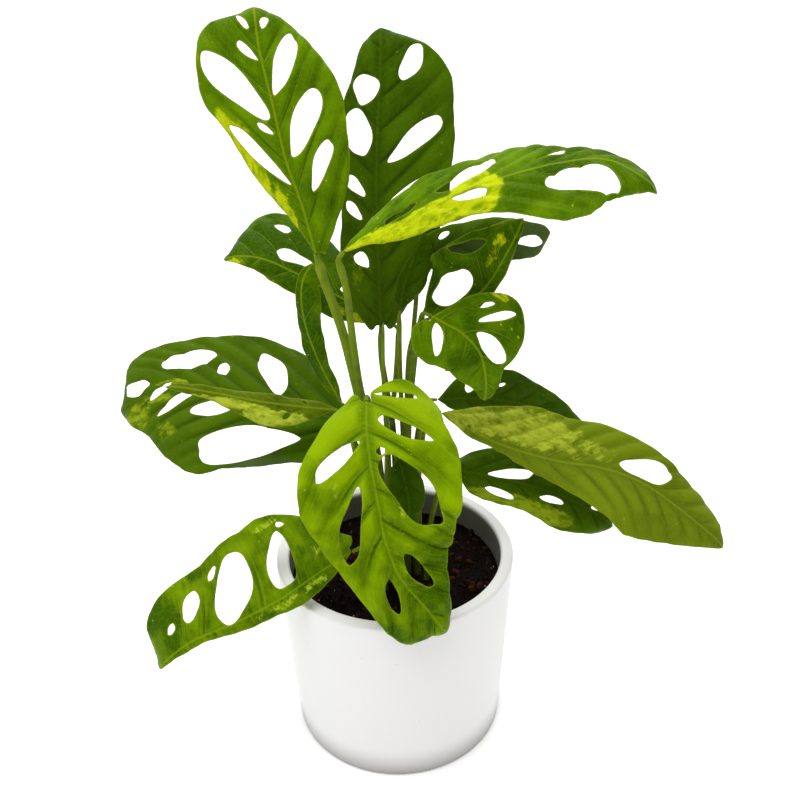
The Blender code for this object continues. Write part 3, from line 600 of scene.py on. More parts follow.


# Midribs are points in millimetres, the height above the soil. Half widths left
# and right are given at STATIONS, left being on the left seen from above with
# the tip away. A hole is (place along 0-1, distance across with right positive,
# length, width, slant from the midrib in degrees); cream and grey patches are
# (along, across, half length, half width, strength).
# The tone pair runs from base to tip and is partly the blade's own lightness and partly painted light and
# shade: positive is lighter, negative deeper.
LEAVES = {
    "upright": ("leaf_mid", dict(
        midrib=[(-35, 2, 202), (-40, 5, 225), (-47, 10, 248), (-52, 17, 273),
                (-57, 25, 297), (-59, 33, 316)],
        face=(0.1, -1, 0.15), tip_face=(0.1, -1, 0.3), fold=(8, 8), droop=3,
        left=(0, 4, 12, 18, 25, 32, 30, 21), right=(6, 14, 27, 32, 34, 31, 22, 12),
        holes=[(0.94, -6, 12, 4, 34), (0.93, 4, 6, 4, 22), (0.83, -6, 12, 4, 40),
               (0.71, -15, 42, 13, 35), (0.53, -6, 9, 3, 44), (0.44, -12, 38, 6, 32),
               (0.76, 10, 30, 10, 28), (0.52, 13, 34, 12, 32), (0.34, 16, 27, 8, 34)],
        tone_and_shade=(-0.2, -0.1), lean=(1.5, 1.3), gap=17, bulge=2.4,
        cream=[(0.32, -18, 26, 6, 1.15), (0.12, -9, 20, 4, 1.05), (0.52, -26, 13, 5, 1.1)],
    )),
    "rear_tall": ("leaf_dark", dict(
        midrib=[(-4, 31, 148), (-4, 36, 188), (-4, 42, 222), (-2, 50, 256),
                (0, 57, 280), (1, 64, 300)],
        face=(0.1, -1, 0.2), tip_face=(0, -1, 0.3), fold=(5, 5), droop=3,
        left=(8, 16, 20, 19, 19, 20, 14, 9), right=(9, 18, 29, 37, 40, 40, 37, 23),
        holes=[(0.8, -7, 19, 16, -11), (0.66, -10, 24, 14, 12), (0.49, -11, 14, 6, 44),
               (0.41, -12, 12, 5, 38), (0.24, -9, 10, 7, 39), (0.89, 16, 24, 12, 28),
               (0.65, 20, 36, 10, 48), (0.48, 19, 29, 6, 55)],
        tone_and_shade=(0.15, 0.0), lean=(1.1, 0.8), gap=18, bulge=1.9,
        cream=[(0.53, 38, 4, 4, 0.9), (0.4, 7, 5, 3, 0.5), (0.2, -12, 12, 6, 0.5)],
    )),
    "right_high": ("leaf_mid", dict(
        midrib=[(-20, -12, 208), (8, -14, 223), (27, -16, 234), (55, -18, 244),
                (82, -20, 251), (105, -22, 252), (129, -25, 239)],
        face=(0, -0.35, 1), fold=(0, -12), droop=3,
        left=(5, 18, 24, 26, 24, 16, 11, 9), right=(0, 4, 10, 13, 21, 30, 22, 6),
        holes=[(0.42, -11, 32, 11, 20), (0.42, 4, 17, 6, 7), (0.67, -8, 13, 4, 5),
               (0.76, 11, 42, 15, 6), (0.2, -5, 18, 5, 5)],
        tone_and_shade=(-0.1, -0.35), lean=(2.2, 2.0), gap=17, bulge=2.2,
        cream=[(0.1, 4, 18, 6, 1.1), (0.28, 6, 18, 6, 1.15), (0.44, 3, 11, 11, 1.2)],
    )),
    "left_back": ("leaf_mid", dict(
        midrib=[(2, 42, 144), (-26, 49, 157), (-49, 55, 169), (-71, 60, 178),
                (-93, 63, 179)],
        face=(0, -0.6, 1), droop=3,
        left=(3, 6, 11, 12, 11, 9, 6, 3), right=(2, 10, 20, 26, 33, 37, 32, 16),
        holes=[(0.75, 25, 8, 5, 11), (0.63, 9, 21, 8, -6), (0.25, 8, 18, 7, -16)],
        tone_and_shade=(-0.7, -0.8), lean=(1.1, 1.0), gap=18, bulge=1.6,
        cream=[(0.2, -7, 16, 3, 0.62), (0.95, -4, 8, 4, 0.62)],
    )),
    "narrow_dark": ("leaf_dark", dict(
        midrib=[(7, 16, 164), (9, 17, 176), (14, 18, 191), (20, 19, 206)],
        face=(0, -1, 0.3), fold=(5, 5), droop=1,
        left=(2, 4, 4, 4, 3, 2, 1.5, 1), right=(2, 5, 9, 11, 11, 11, 7, 3),
        tone_and_shade=(0.0, 0.1), lean=(1.5, 1.2), gap=12, bulge=0.8,
    )),
    "oval_window": ("leaf_mid", dict(
        midrib=[(22, 4, 163), (38, 4, 169), (52, 5, 181), (63, 6, 200), (70, 7, 215)],
        face=(0, -1, 0.3), fold=(5, 5), droop=2,
        left=(7, 21, 30, 31, 30, 25, 15, 7), right=(2, 4, 6, 6, 5, 4, 3, 2),
        holes=[(0.27, -11, 31, 15, 5), (0.65, -20, 22, 7, -45)],
        tone_and_shade=(-0.6, -0.3), lean=(1.2, 1.0), gap=15, bulge=1.4,
        cream=[(0.75, -6, 12, 4, 0.55)],
    )),
    "grey_green": ("leaf_dark", dict(
        midrib=[(18, 20, 189), (34, 20, 198), (52, 20, 203), (70, 19, 206),
                (86, 18, 204)],
        face=(0, -1, 0.4), droop=2,
        left=(4, 9, 10, 9, 8, 6, 4, 3), right=(4, 11, 14, 15, 15, 16, 15, 11),
        holes=[(0.24, -6, 6, 3, 10), (0.85, 6, 16, 6, -5)],
        tone_and_shade=(0.1, 0.2), lean=(1.5, 1.2), gap=15, bulge=1.2,
        grey=[(0.5, 14, 60, 12, 1), (0.9, 8, 16, 12, 1)],
    )),
    "right_mid": ("leaf_mid", dict(
        midrib=[(23, -10, 171), (38, -14, 163), (47, -18, 153), (50, -20, 139),
                (50, -20, 125)],
        face=(0.1, -1, 0.6), tip_face=(0.1, -1, 0.4), fold=(10, 0), droop=2,
        left=(4, 10, 23, 31, 24, 11, 6, 3), right=(20, 22, 21, 20, 19, 15, 7, 3),
        holes=[(0.52, -7, 17, 9, 15), (0.39, -18, 18, 3, 68), (0.3, -19, 8, 2, 62),
               (0.13, 9, 17, 6, 60)],
        tone_and_shade=(-0.45, -0.3), lean=(0.5, 1.0), gap=14, bulge=2.2,
        cream=[(0.3, -28, 5, 3, 0.8)],
    )),
    "right_rear": ("leaf_dark", dict(
        midrib=[(27, 16, 108), (51, 27, 102), (76, 37, 92), (98, 45, 79),
                (122, 51, 60)],
        face=(0, -1, 0.5), droop=2,
        left=(4, 10, 16, 18, 15, 11, 7, 4), right=(2, 6, 11, 14, 15, 14, 11, 5),
        holes=[(0.19, -7, 10, 6, 35), (0.36, -9, 5, 2, 20)],
        tone_and_shade=(0.1, 0.0), lean=(1.5, 1.3), gap=17, bulge=1.4,
    )),
    "right_long": ("leaf_pale", dict(
        midrib=[(28, -6, 112), (49, -8, 98), (70, -12, 90), (92, -16, 85),
                (113, -20, 83), (134, -26, 77), (155, -32, 63), (181, -40, 42)],
        face=(0, -0.75, 1), tip_face=(0.2, -0.75, 0.8), fold=(5, 5), droop=3,
        left=(5, 15, 27, 27, 25, 20, 15, 9), right=(2, 3, 5, 13, 24, 30, 18, 7),
        holes=[(0.66, -8, 28, 12, 14)],
        tone_and_shade=(0.2, 0.15), lean=(1.5, 1.2), gap=15, bulge=2.2,
        cream=[(0.12, -9, 26, 9, 0.72), (0.3, -14, 28, 12, 0.75), (0.48, -9, 18, 9, 0.5),
               (0.05, 0, 12, 6, 0.6)],
    )),
    "right_low": ("leaf_dark", dict(
        midrib=[(36, 2, 70), (59, 2, 64), (81, 0, 58), (105, -2, 48),
                (128, -6, 33)],
        face=(0, -0.9, 0.9), droop=3,
        left=(6, 13, 18, 18, 14, 10, 7, 3), right=(4, 11, 14, 14, 17, 18, 14, 7),
        holes=[(0.32, -4, 26, 6, 14), (0.27, 8, 18, 4, 8), (0.58, 4, 15, 4, -5),
               (0.85, -3, 8, 3, 20)],
        tone_and_shade=(0.1, 0.1), lean=(1.8, 1.5), gap=17, bulge=1.6,
        cream=[(0.28, 11, 34, 4, 0.85), (0.52, 13, 24, 6, 0.8)],
    )),
    "front": ("leaf_bright", dict(
        midrib=[(-12, -0.29 * RIM, 128), (-12, -0.49 * RIM, 119),
                (-10, -0.69 * RIM, 105), (-7, -0.83 * RIM, 90),
                (-4, -0.94 * RIM, 73), (3, -1.03 * RIM, 54),
                (15, -1.09 * RIM, 38), (27, -1.14 * RIM, 21)],
        face=(0, -1, 1), tip_face=(0, -1, 0.6), droop=3, lobes=(14, 5),
        left=(36, 40, 45, 44, 38, 31, 17, 8), right=(12, 24, 37, 40, 31, 23, 24, 18),
        holes=[(0.22, 17, 29, 9, 57), (0.46, 15, 38, 10, 20), (-0.03, -16, 24, 4, 84),
               (0.13, -19, 31, 8, 59), (0.21, -6, 5, 4, 88), (0.38, -18, 48, 19, 28),
               (0.71, -9, 27, 8, 4), (0.74, 9, 17, 6, 24)],
        tone_and_shade=(0.2, -0.6), lean=(0.35, 1.5), gap=19, bulge=4.6,
        cream=[(0.42, -12, 8, 3, 0.55), (0.3, 20, 10, 3, 0.5)],
    )),
    "left_low": ("leaf_bright", dict(
        midrib=[(-0.33 * RIM, -0.57 * RIM, 46), (-0.57 * RIM, -0.66 * RIM, 38),
                (-0.89 * RIM, -0.77 * RIM, 26), (-1.24 * RIM, -0.86 * RIM, 16),
                (-1.6 * RIM, -0.91 * RIM, 6), (-1.89 * RIM, -0.94 * RIM, -11)],
        face=(0, -0.6, 1), tip_face=(-0.2, -0.8, 0.8), droop=3,
        left=(4, 5, 8, 7, 5, 4, 3, 2), right=(14, 34, 47, 48, 44, 37, 32, 22),
        holes=[(0.28, 19, 33, 16, -68), (0.53, 19, 41, 22, -62), (0.61, 31, 10, 4, -45),
               (0.74, 18, 17, 9, -66), (0.84, 12, 6, 4, -50), (0.2, 37, 5, 3, 41)],
        tone_and_shade=(-0.5, -0.6), lean=(-0.2, -0.4), gap=20, bulge=2.0,
        cream=[(0.3, -3, 34, 3, 0.5), (0.08, 12, 12, 8, 0.45), (0.25, 42, 22, 3, 0.5)],
    )),
    "left_big": ("leaf_dark", dict(
        midrib=[(-30, 14, 98), (-52, 23, 100), (-76, 32, 102), (-99, 40, 102),
                (-122, 46, 101), (-144, 50, 97), (-165, 52, 88)],
        face=(0, -0.6, 1), tip_face=(-0.2, -0.6, 0.9), droop=3,
        left=(25, 31, 40, 45, 50, 42, 26, 14), right=(9, 22, 37, 42, 42, 39, 34, 25),
        holes=[(0.69, 23, 31, 13, -13), (0.54, 17, 8, 8, 0), (0.33, 19, 32, 14, 49),
               (0.9, 8, 17, 11, 6), (0.79, 2, 16, 5, -35), (0.7, -5, 30, 7, 37),
               (0.53, -9, 29, 10, 13), (0.34, -28, 64, 22, 17)],
        tone_and_shade=(0.0, 0.3), lean=(1.6, 1.8), gap=20, bulge=1.9,
        cream=[(0.9, -12, 12, 10, 0.62), (0.8, -3, 14, 4, 0.62), (0.74, 7, 14, 3, 0.6),
               (0.74, -24, 14, 8, 0.5)],
        grey=[(0.22, -38, 24, 6, 1)],
    )),
    "left_slim": ("leaf_pale", dict(
        midrib=[(-28, 0, 112), (-49, -2, 116), (-70, -4, 121), (-93, -6, 128),
                (-118, -8, 135)],
        face=(0, -0.7, 1), droop=2,
        left=(2, 4, 10, 13, 9, 5, 3, 2), right=(3, 4, 6, 6, 5, 4, 3, 2),
        holes=[(0.3, -6, 5, 3, 40), (0.2, 3, 4, 2, 38)],
        tone_and_shade=(-0.3, -0.1), lean=(1.8, 1.5), gap=15, bulge=1.1,
        cream=[(0.36, -9, 18, 5, 1), (0.62, -4, 24, 3, 0.75)],
    )),
    "folded": ("leaf_mid", dict(
        midrib=[(-27, 10, 111), (-37, 13, 133), (-44, 16, 156), (-45, 18, 176),
                (-40, 20, 190)],
        face=(-0.5, -0.9, 0.2), tip_face=(-0.5, -0.9, 0.4), droop=1,
        left=(2, 4, 7, 7, 5, 4, 4, 3), right=(1, 3, 5, 7, 8, 12, 10, 6),
        tone_and_shade=(-0.9, -0.6), lean=(1.5, 1.3), gap=14, bulge=1.1,
    )),
    "small_inner": ("leaf_dark", dict(
        midrib=[(4, -16, 90), (7, -20, 77), (9, -23, 65), (8, -26, 53)],
        face=(0, -1, 0.8), droop=1,
        left=(2, 5, 8, 10, 10, 8, 5, 3), right=(2, 5, 8, 10, 10, 9, 7, 3),
        tone_and_shade=(-0.1, 0.0), lean=(1.2, 1.0), gap=12, bulge=0.8,
    )),
}


def between(a, b, c, d, t):
    """Places from b to c on the smooth curve through four points."""
    curve = 2 * b + (c - a) * t + (2 * a - 5 * b + 4 * c - d) * t**2
    return 0.5 * (curve + (3 * b - a - 3 * c + d) * t**3)


def smooth_path(points, steps=24):
    """A curve through the points, as finely spaced positions."""
    points = np.array(points, float)
    ends = np.vstack([2 * points[:1] - points[1:2], points, 2 * points[-1:] - points[-2:-1]])
    t = (np.arange(steps) / steps)[:, None]
    runs = [between(*four, t) for four in zip(ends, ends[1:], ends[2:], ends[3:])]
    return np.vstack([*runs, points[-1:]])


def unit(vectors):
    return vectors / np.linalg.norm(vectors, axis=-1, keepdims=True)


class Midrib:
    """A blade's bent centre line and the way its face looks along it."""

    def __init__(self, points, face, tip_face):
        soil = np.array((0.0, 0.0, SOIL_TOP))
        self.path = smooth_path(np.array(points) * MM + soil)
        steps = np.linalg.norm(np.diff(self.path, axis=0), axis=1)
        self.marks = np.concatenate([[0.0], np.cumsum(steps)])
        self.length = self.marks[-1]
        self.faces = np.array((face, tip_face or face), float)

    def at(self, distance):
        return np.stack([np.interp(distance, self.marks, axis) for axis in self.path.T], axis=-1)

    def frame(self, distance):
        step = 0.02 * self.length
        inner = np.clip(distance, step, self.length - step)
        forward = unit(self.at(inner + step) - self.at(inner - step))
        share = np.clip(distance / self.length, 0, 1)[:, None]
        up = self.faces[0] * (1 - share) + self.faces[1] * share
        up = unit(up - forward * np.sum(up * forward, axis=1, keepdims=True))
        return forward, up, np.cross(forward, up)


def margin_loop(length, left, right, lobes, chance):
    """The blade's margin as a closed loop of flat points, with small natural waves."""
    corners = []
    for side, sign in ((1, 1), (0, -1)):
        widths = (left, right)[side]
        run = []
        if widths[0] > NOTCH:
            lobe = lobes[side] * MM if lobes else 0.3 * widths[0]
            run.append((0.0, sign * 0.5 * NOTCH))
            run.append((-0.5 * lobe, sign * 0.7 * NOTCH))
            run.append((-lobe, sign * max(0.55 * widths[0], NOTCH)))
            run.append((0.0, sign * widths[0]))
        run += [(at * length, sign * width) for at, width in zip(STATIONS[1:], widths[1:])]
        corners.append(run)
    loop = np.array([(0.0, 0.0), *corners[0], (length, 0.0), *reversed(corners[1])])
    tip = len(corners[0]) + 1
    total = len(loop)
    points = []
    for i in range(total):
        a, b, c, d = (loop[(i + k) % total] for k in (-1, 0, 1, 2))
        bend = 0.35 if i in (tip, tip - 1, 0, total - 1) else 1.0
        count = max(2, round(np.linalg.norm(c - b) / FINE_STEP))
        t = (np.arange(count) / count)[:, None]
        points.append((b + (c - b) * t) * (1 - bend) + between(a, b, c, d, t) * bend)
    points = np.vstack(points)
    place = points[:, 0] / MM + 40 * (points[:, 1] > 0)
    wave = np.sin(place * 0.19 + chance[0]) + 0.35 * np.sin(place * 0.61 + chance[1])
    calm = np.clip((length - points[:, 0]) / (0.15 * length), 0, 1) * (points[:, 0] > 0.04 * length)
    points[:, 1] += np.sign(points[:, 1]) * 0.35 * MM * wave * calm
    return points


def hole_loop(centre, across, length, width, slant, chance):
    """One hole: an uneven oval, drawn out toward the midrib end."""
    angle = math.radians(slant) * (1 if across > 0 else -1)
    major = np.array((math.cos(angle), math.sin(angle)))
    minor = np.array((-major[1], major[0]))
    count = max(14, round(2.4 * length * MM / FINE_STEP))
    turn = 2 * math.pi * (np.arange(count) + 0.5) / count
    egg = 1 + (0.05 + 0.2 * chance[0]) * np.cos(turn)
    bow = 0.06 * (chance[1] - 0.5) * length * np.cos(turn) ** 2
    side = np.sign(np.sin(turn)) * np.abs(np.sin(turn)) ** 1.08
    reach = np.cos(turn)[:, None] * major * length
    reach = reach + (side * egg * width + bow)[:, None] * minor
    uneven = 0.05 * np.sin(3 * turn + 6 * chance[0]) + 0.03 * np.sin(5 * turn + 6 * chance[1])
    reach *= 1 + uneven[:, None]
    return centre + reach * 0.5 * MM


def within(points, loop):
    """Which flat points lie in a closed loop."""
    x, y = points[:, 0:1], points[:, 1:2]
    after = np.roll(loop, -1, axis=0)
    crosses = (loop[:, 1] > y) != (after[:, 1] > y)
    rise = np.where(after[:, 1] == loop[:, 1], 1e-12, after[:, 1] - loop[:, 1])
    at = loop[:, 0] + (after[:, 0] - loop[:, 0]) * (y - loop[:, 1]) / rise
    return np.sum(crosses & (x < at), axis=1) % 2 == 1


def clear_of_margin(loop, centre, margin):
    """A hole drawn in toward its centre until a strand of blade is left beside it."""
    for _ in range(12):
        gaps = np.linalg.norm(loop[:, None] - margin[None], axis=2)
        if gaps.min() > STRAND and within(loop, margin).all():
            break
        loop = centre + 0.95 * (loop - centre)
    return loop


def patches(spots, along, across, length):
    """How strongly each flat point lies in any of the patches."""
    strength = np.zeros(len(along))
    for place, side, half_long, half_wide, amount in spots:
        reach = ((along - place * length) / (half_long * MM)) ** 2
        reach = reach + ((across - side * MM) / (half_wide * MM)) ** 2
        strength = np.maximum(strength, amount * np.exp(-0.55 * reach**1.5))
    return strength


def biggest_patch(triangles, count):
    """The triangles of the largest joined piece, so that no loose sliver stays."""
    owner = np.arange(count)
    for _ in range(400):
        least = owner[triangles].min(axis=1)
        before = owner.copy()
        for k in range(3):
            np.minimum.at(owner, triangles[:, k], least)
        owner = owner[owner]
        if np.array_equal(owner, before):
            break
    labels, sizes = np.unique(owner[triangles[:, 0]], return_counts=True)
    return triangles[owner[triangles[:, 0]] == labels[np.argmax(sizes)]]


def cut_blade(margin, loops, length):
    """The flat blade with its holes cut out: points, triangles and its edge points to measure from."""
    across_rows = int(WIDEST / (ROW_SPACING * FINE_STEP))
    rows = np.arange(-across_rows, across_rows + 1)
    columns = np.arange(-30, math.ceil(length / FINE_STEP) + 1)
    inner_x = (columns[None, :] + 0.5 * (rows[:, None] % 2)) * FINE_STEP
    inner = np.stack([inner_x.ravel(), np.repeat(rows * ROW_SPACING * FINE_STEP, len(columns))], axis=1)
    inner = inner[within(inner, margin)]
    for loop in loops:
        inner = inner[~within(inner, loop)]
    edge_points = np.vstack([margin, *loops])
    edge_tree = KDTree(len(edge_points))
    for i, (x, y) in enumerate(edge_points):
        edge_tree.insert((x, y, 0), i)
    edge_tree.balance()
    inner = np.array([p for p in inner if edge_tree.find((p[0], p[1], 0))[2] > 0.5 * FINE_STEP])
    points = np.vstack([edge_points, inner])
    edges = []
    start = 0
    for loop in (margin, *loops):
        edges += [(start + k, start + (k + 1) % len(loop)) for k in range(len(loop))]
        start += len(loop)
    flat, _, triangles, *_ = delaunay_2d_cdt([Vector(p) for p in points], edges, [], 0, 1e-7)
    flat = np.array([tuple(p) for p in flat])
    triangles = np.array(triangles)
    middles = flat[triangles].mean(axis=1)
    keep = within(middles, margin)
    for loop in loops:
        keep &= ~within(middles, loop)
    triangles = biggest_patch(triangles[keep], len(flat))
    used, triangles = np.unique(triangles, return_inverse=True)
    triangles = triangles.reshape(-1, 3)
    flat = flat[used]
    a, b, c = (flat[triangles[:, k]] for k in range(3))
    turned_over = (b - a)[:, 0] * (c - a)[:, 1] - (b - a)[:, 1] * (c - a)[:, 0] > 0
    triangles[turned_over] = triangles[turned_over][:, ::-1]
    return flat, triangles, edge_tree


def vein_places(holes, length, gap, side):
    """Where lateral veins meet the midrib on one side: between the holes."""
    marks = sorted(q for q, where in holes if (where > 0) == side)
    veins = [(a + b) / 2 for a, b in zip(marks, marks[1:]) if b - a > 7 * MM]
    ends = [-0.6 * length, *veins, 1.3 * length]
    full = []
    for a, b in zip(ends, ends[1:]):
        parts = max(1, round((b - a) / (gap * MM)))
        full += [a + (b - a) * k / parts for k in range(parts)]
    return np.array([*full, ends[-1]])


def grow_leaf(order, name, slot, midrib, face, left, right, droop, tone_and_shade, lean, gap, bulge,
              fold=(0, 0), holes=(), tip_face=None, lobes=None, cream=(), grey=()):
    """One blade: cut flat around its holes, quilted, bent and given two skins.

    Fold is each half's angle to the midrib's plane in degrees, droop how far the
    sides hang in millimetres, lean how far the veins slope toward the tip, gap
    the millimetres between them and bulge the swelling between them.
    """
    chance = np.random.default_rng(100 + order)
    rib = Midrib(midrib, face, tip_face)
    length = rib.length
    widths = [np.array(side, float) * MM for side in (left, right)]
    margin = margin_loop(length, *widths, lobes, chance.uniform(0, 6, 2))
    centres = [np.array((at * length, side * MM)) for at, side, *_ in holes]
    loops = [hole_loop(c, *hole[1:], chance.uniform(0, 1, 2)) for c, hole in zip(centres, holes)]
    loops = [clear_of_margin(loop, c, margin) for c, loop in zip(centres, loops)]

    flat, triangles, edge_tree = cut_blade(margin, loops, length)

    # Quilting: the blade swells between lateral veins that lean toward the tip.
    along, across = flat[:, 0], flat[:, 1]
    share_along = np.clip(along / length, 0, 1)
    out = np.abs(across)
    side = (across > 0).astype(int)
    marks = [*STATIONS, 1.0]
    width = np.where(side, *(np.interp(share_along, marks, [*w, 0.0]) for w in reversed(widths)))
    width = np.maximum(width, 6 * MM)
    share = np.minimum(out / width, 1.3)

    def vein_line(x, y):
        tilt = lean[0] + (lean[1] - lean[0]) * np.clip(x / length, 0, 1)
        return x - tilt * np.abs(y) - 5.0 * y**2

    hole_marks = [(vein_line(*c), c[1]) for c in centres]
    index = np.zeros(len(flat))
    for s in (0, 1):
        veins = vein_places(hole_marks, length, gap, bool(s))
        found = np.interp(vein_line(along, across), veins, np.arange(len(veins)))
        index = np.where(side == s, found, index)
    swell = np.abs(np.sin(math.pi * index)) ** 0.7
    ends = np.clip(out / (5 * MM), 0, 1) * np.clip((1.25 - share) / 0.5, 0, 1)
    ends *= np.clip((length - along) / (0.12 * length), 0, 1) * np.clip(1 + along / (6 * MM), 0, 1)
    rise = out * np.sin(np.radians(fold))[side] - droop * MM * share**2
    rise += LEAF_RIPPLE * np.sin(share_along * 17 + order * 1.7 + 2.4 * side) * share**2
    rise += 0.2 * MM * np.sin(along / MM * 0.33 + chance.uniform(0, 6)) * share**3
    rise += bulge * MM * (swell - 0.5) * ends
    rise -= TIP_HOOK * np.clip((along - length) / (9 * MM) + 1, 0, 1) ** 2
    lay = np.cos(np.radians(fold))[side]
    forward, up, right_hand = rib.frame(along)
    middle = rib.at(np.clip(along, 0, length)) + forward * np.minimum(along, 0)[:, None]
    middle += right_hand * (across * lay)[:, None] + up * rise[:, None]

    # Two skins, thicker along the midrib, joined round every edge.
    face_normals = np.cross(middle[triangles[:, 1]] - middle[triangles[:, 0]],
                            middle[triangles[:, 2]] - middle[triangles[:, 0]])
    normals = np.zeros_like(middle)
    for k in range(3):
        np.add.at(normals, triangles[:, k], face_normals)
    normals = unit(normals)
    if np.sum(normals * up) < 0:
        triangles = triangles[:, ::-1]
        normals = -normals
    taper = np.clip((length - along) / (0.8 * length), 0, 1) ** 0.5 * np.clip(1 + along / (2 * MM), 0, 1)
    rib_shape = np.clip(1 - out / (1.7 * MM), 0, 1) * taper
    above = 0.5 * LEAF_THICKNESS + 0.5 * MIDRIB_RISE * rib_shape
    under = 0.5 * LEAF_THICKNESS + 1.3 * MIDRIB_RISE * rib_shape
    count = len(flat)
    points = np.vstack([middle + normals * above[:, None], middle - normals * under[:, None]])
    sides = {(a, b): True for tri in triangles.tolist() for a, b in zip(tri, tri[1:] + tri[:1])}
    rims = [(a, b) for a, b in sides if (b, a) not in sides]
    faces = triangles.tolist() + (triangles[:, ::-1] + count).tolist()
    faces += [(b, a, a + count, b + count) for a, b in rims]

    made = piece(f"blade_{name}", points, faces, leaf_finishes[slot])
    mesh = made.data
    corner = np.zeros(len(mesh.loops), int)
    mesh.loops.foreach_get("vertex_index", corner)
    corner %= count
    for uv_name, values in (("blade", flat * 10), ("veins", np.stack([index, share], axis=1))):
        layer = mesh.uv_layers.new(name=uv_name)
        layer.uv.foreach_set("vector", values[corner].astype(np.float32).ravel())
    edge_distance = np.array([edge_tree.find((x, y, 0))[2] for x, y in flat]) / MM
    turned_up = patches(grey, along, across, length)
    for key, values in (
        ("cream", np.tile(patches(cream, along, across, length), 2)),
        ("edge", np.tile(edge_distance, 2)),
        ("under", np.concatenate([turned_up, np.ones(count)])),
        ("tone_and_shade", np.tile(tone_and_shade[0] + (tone_and_shade[1] - tone_and_shade[0]) * share_along, 2)),
    ):
        mesh.attributes.new(key, "FLOAT", "POINT").data.foreach_set("value", values.astype(np.float32))
    return made


for count, (name, (slot, shape)) in enumerate(LEAVES.items()):
    leaf = grow_leaf(count, name, slot, **shape)
    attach(leaf, "root")
    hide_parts(f"leaf_{name}")


# ---------------------------------------------------------------- stems
# Juicy round petioles that taper from the soil to a swollen knee under each
# blade, faintly ringed and grooved, olive below and fresher green above. A stem
# is its radius in millimetres, its foot on the soil and the points it bends by.
STEMS = {
    "upright": (3.0, [(-9, 1), (-10, 1, 38), (-11, 1, 86), (-17, 1, 120),
                      (-24, 3, 158), (-32, 3, 188)]),
    "rear_tall": (2.0, [(1, 10), (2, 9, 57), (1, 9, 95), (-2, 14, 118), (-4, 23, 131)]),
    "right_high": (2.4, [(-4, -9), (-5, -9, 42), (-8, -8, 90), (-15, -8, 125),
                         (-18, -8, 155), (-20, -9, 186)]),
    "left_back": (1.7, [(-3, 17), (-3, 18, 67), (3, 28, 112)]),
    "narrow_dark": (1.5, [(8, 7), (7, 8, 67), (6, 11, 127)]),
    "oval_window": (2.3, [(7, 0), (7, 2, 50), (8, 4, 83), (10, 6, 114), (12, 5, 144)]),
    "grey_green": (1.6, [(9, 14), (10, 14, 77), (13, 18, 137), (16, 20, 172)]),
    "right_mid": (1.7, [(7, -8), (8, -7, 77), (12, -4, 127), (16, -3, 159)]),
    "right_rear": (1.7, [(15, 9), (15, 9, 57), (18, 12, 87)]),
    "right_long": (2.0, [(13, -3), (13, -2, 67), (16, -2, 102)]),
    "right_low": (1.6, [(18, -8), (20, -6, 32), (26, -1, 57)]),
    "front": (2.2, [(-11, -12), (-11, -14, 67), (-11, -14, 109)]),
    "left_low": (1.8, [(-6, -16), (-8, -20, 23), (-13, -30, 37)]),
    "left_big": (2.1, [(-13, 12), (-14, 12, 47), (-20, 12, 79)]),
    "left_slim": (1.6, [(-15, -5), (-16, -5, 47), (-20, -3, 87)]),
    "folded": (1.6, [(-16, 6), (-17, 7, 47), (-22, 8, 89)]),
    "small_inner": (1.4, [(2, -15), (2, -16, 47), (3, -15, 75)]),
}

FRESH_DEEP = (0.11, 0.18, 0.003, 1)
FRESH_PALE = (0.24, 0.33, 0.012, 1)
OLIVE_DEEP = (0.03, 0.06, 0.002, 1)
OLIVE_PALE = (0.09, 0.13, 0.006, 1)
BLOTCH = (0.05, 0.075, 0.008, 1)
RING_PALE = (0.22, 0.22, 0.06, 1)

stem_shine = {"Specular_IOR_Level": 0.15, "Specular_Tint": (0.85, 1.0, 0.4, 1.0)}
petiole_skin, tree, shader = surface("petiole_skin", **stem_shine)
where = node(tree, "ShaderNodeTexCoord").outputs["Object"]
tint = attribute(tree, "tint")
along = attribute(tree, "along")
streak_at = first(tree, "ShaderNodeMapping", {"Vector": where, "Scale": (900.0, 900.0, 60.0)})
streak = noise(tree, streak_at, 1.0, 2.0)
blotch = noise(tree, where, 70.0, 3.0)
fresh = mixed(tree, streak, FRESH_DEEP, FRESH_PALE)
olive = mixed(tree, streak, OLIVE_DEEP, OLIVE_PALE)
colour = mixed(tree, tint, olive, fresh)
colour = mixed(tree, times(tree, step_mask(tree, blotch, 0.52, 0.7), 0.5), colour, BLOTCH)
rings = number(tree, "FRACT", number(tree, "MULTIPLY_ADD", blotch, 0.6, times(tree, along, 62.0)))
ring = step_mask(tree, number(tree, "ABSOLUTE", number(tree, "SUBTRACT", rings, 0.5)), 0.08, 0.02)
colour = mixed(tree, times(tree, ring, 0.35), colour, RING_PALE)
tree.links.new(colour, shader.inputs["Base Color"])
tree.links.new(number(tree, "MULTIPLY_ADD", streak, 0.2, 0.36), shader.inputs["Roughness"])
stem_height = number(tree, "MULTIPLY_ADD", ring, 0.6, streak)
relief(tree, shader, stem_height, 0.3, 0.0004)

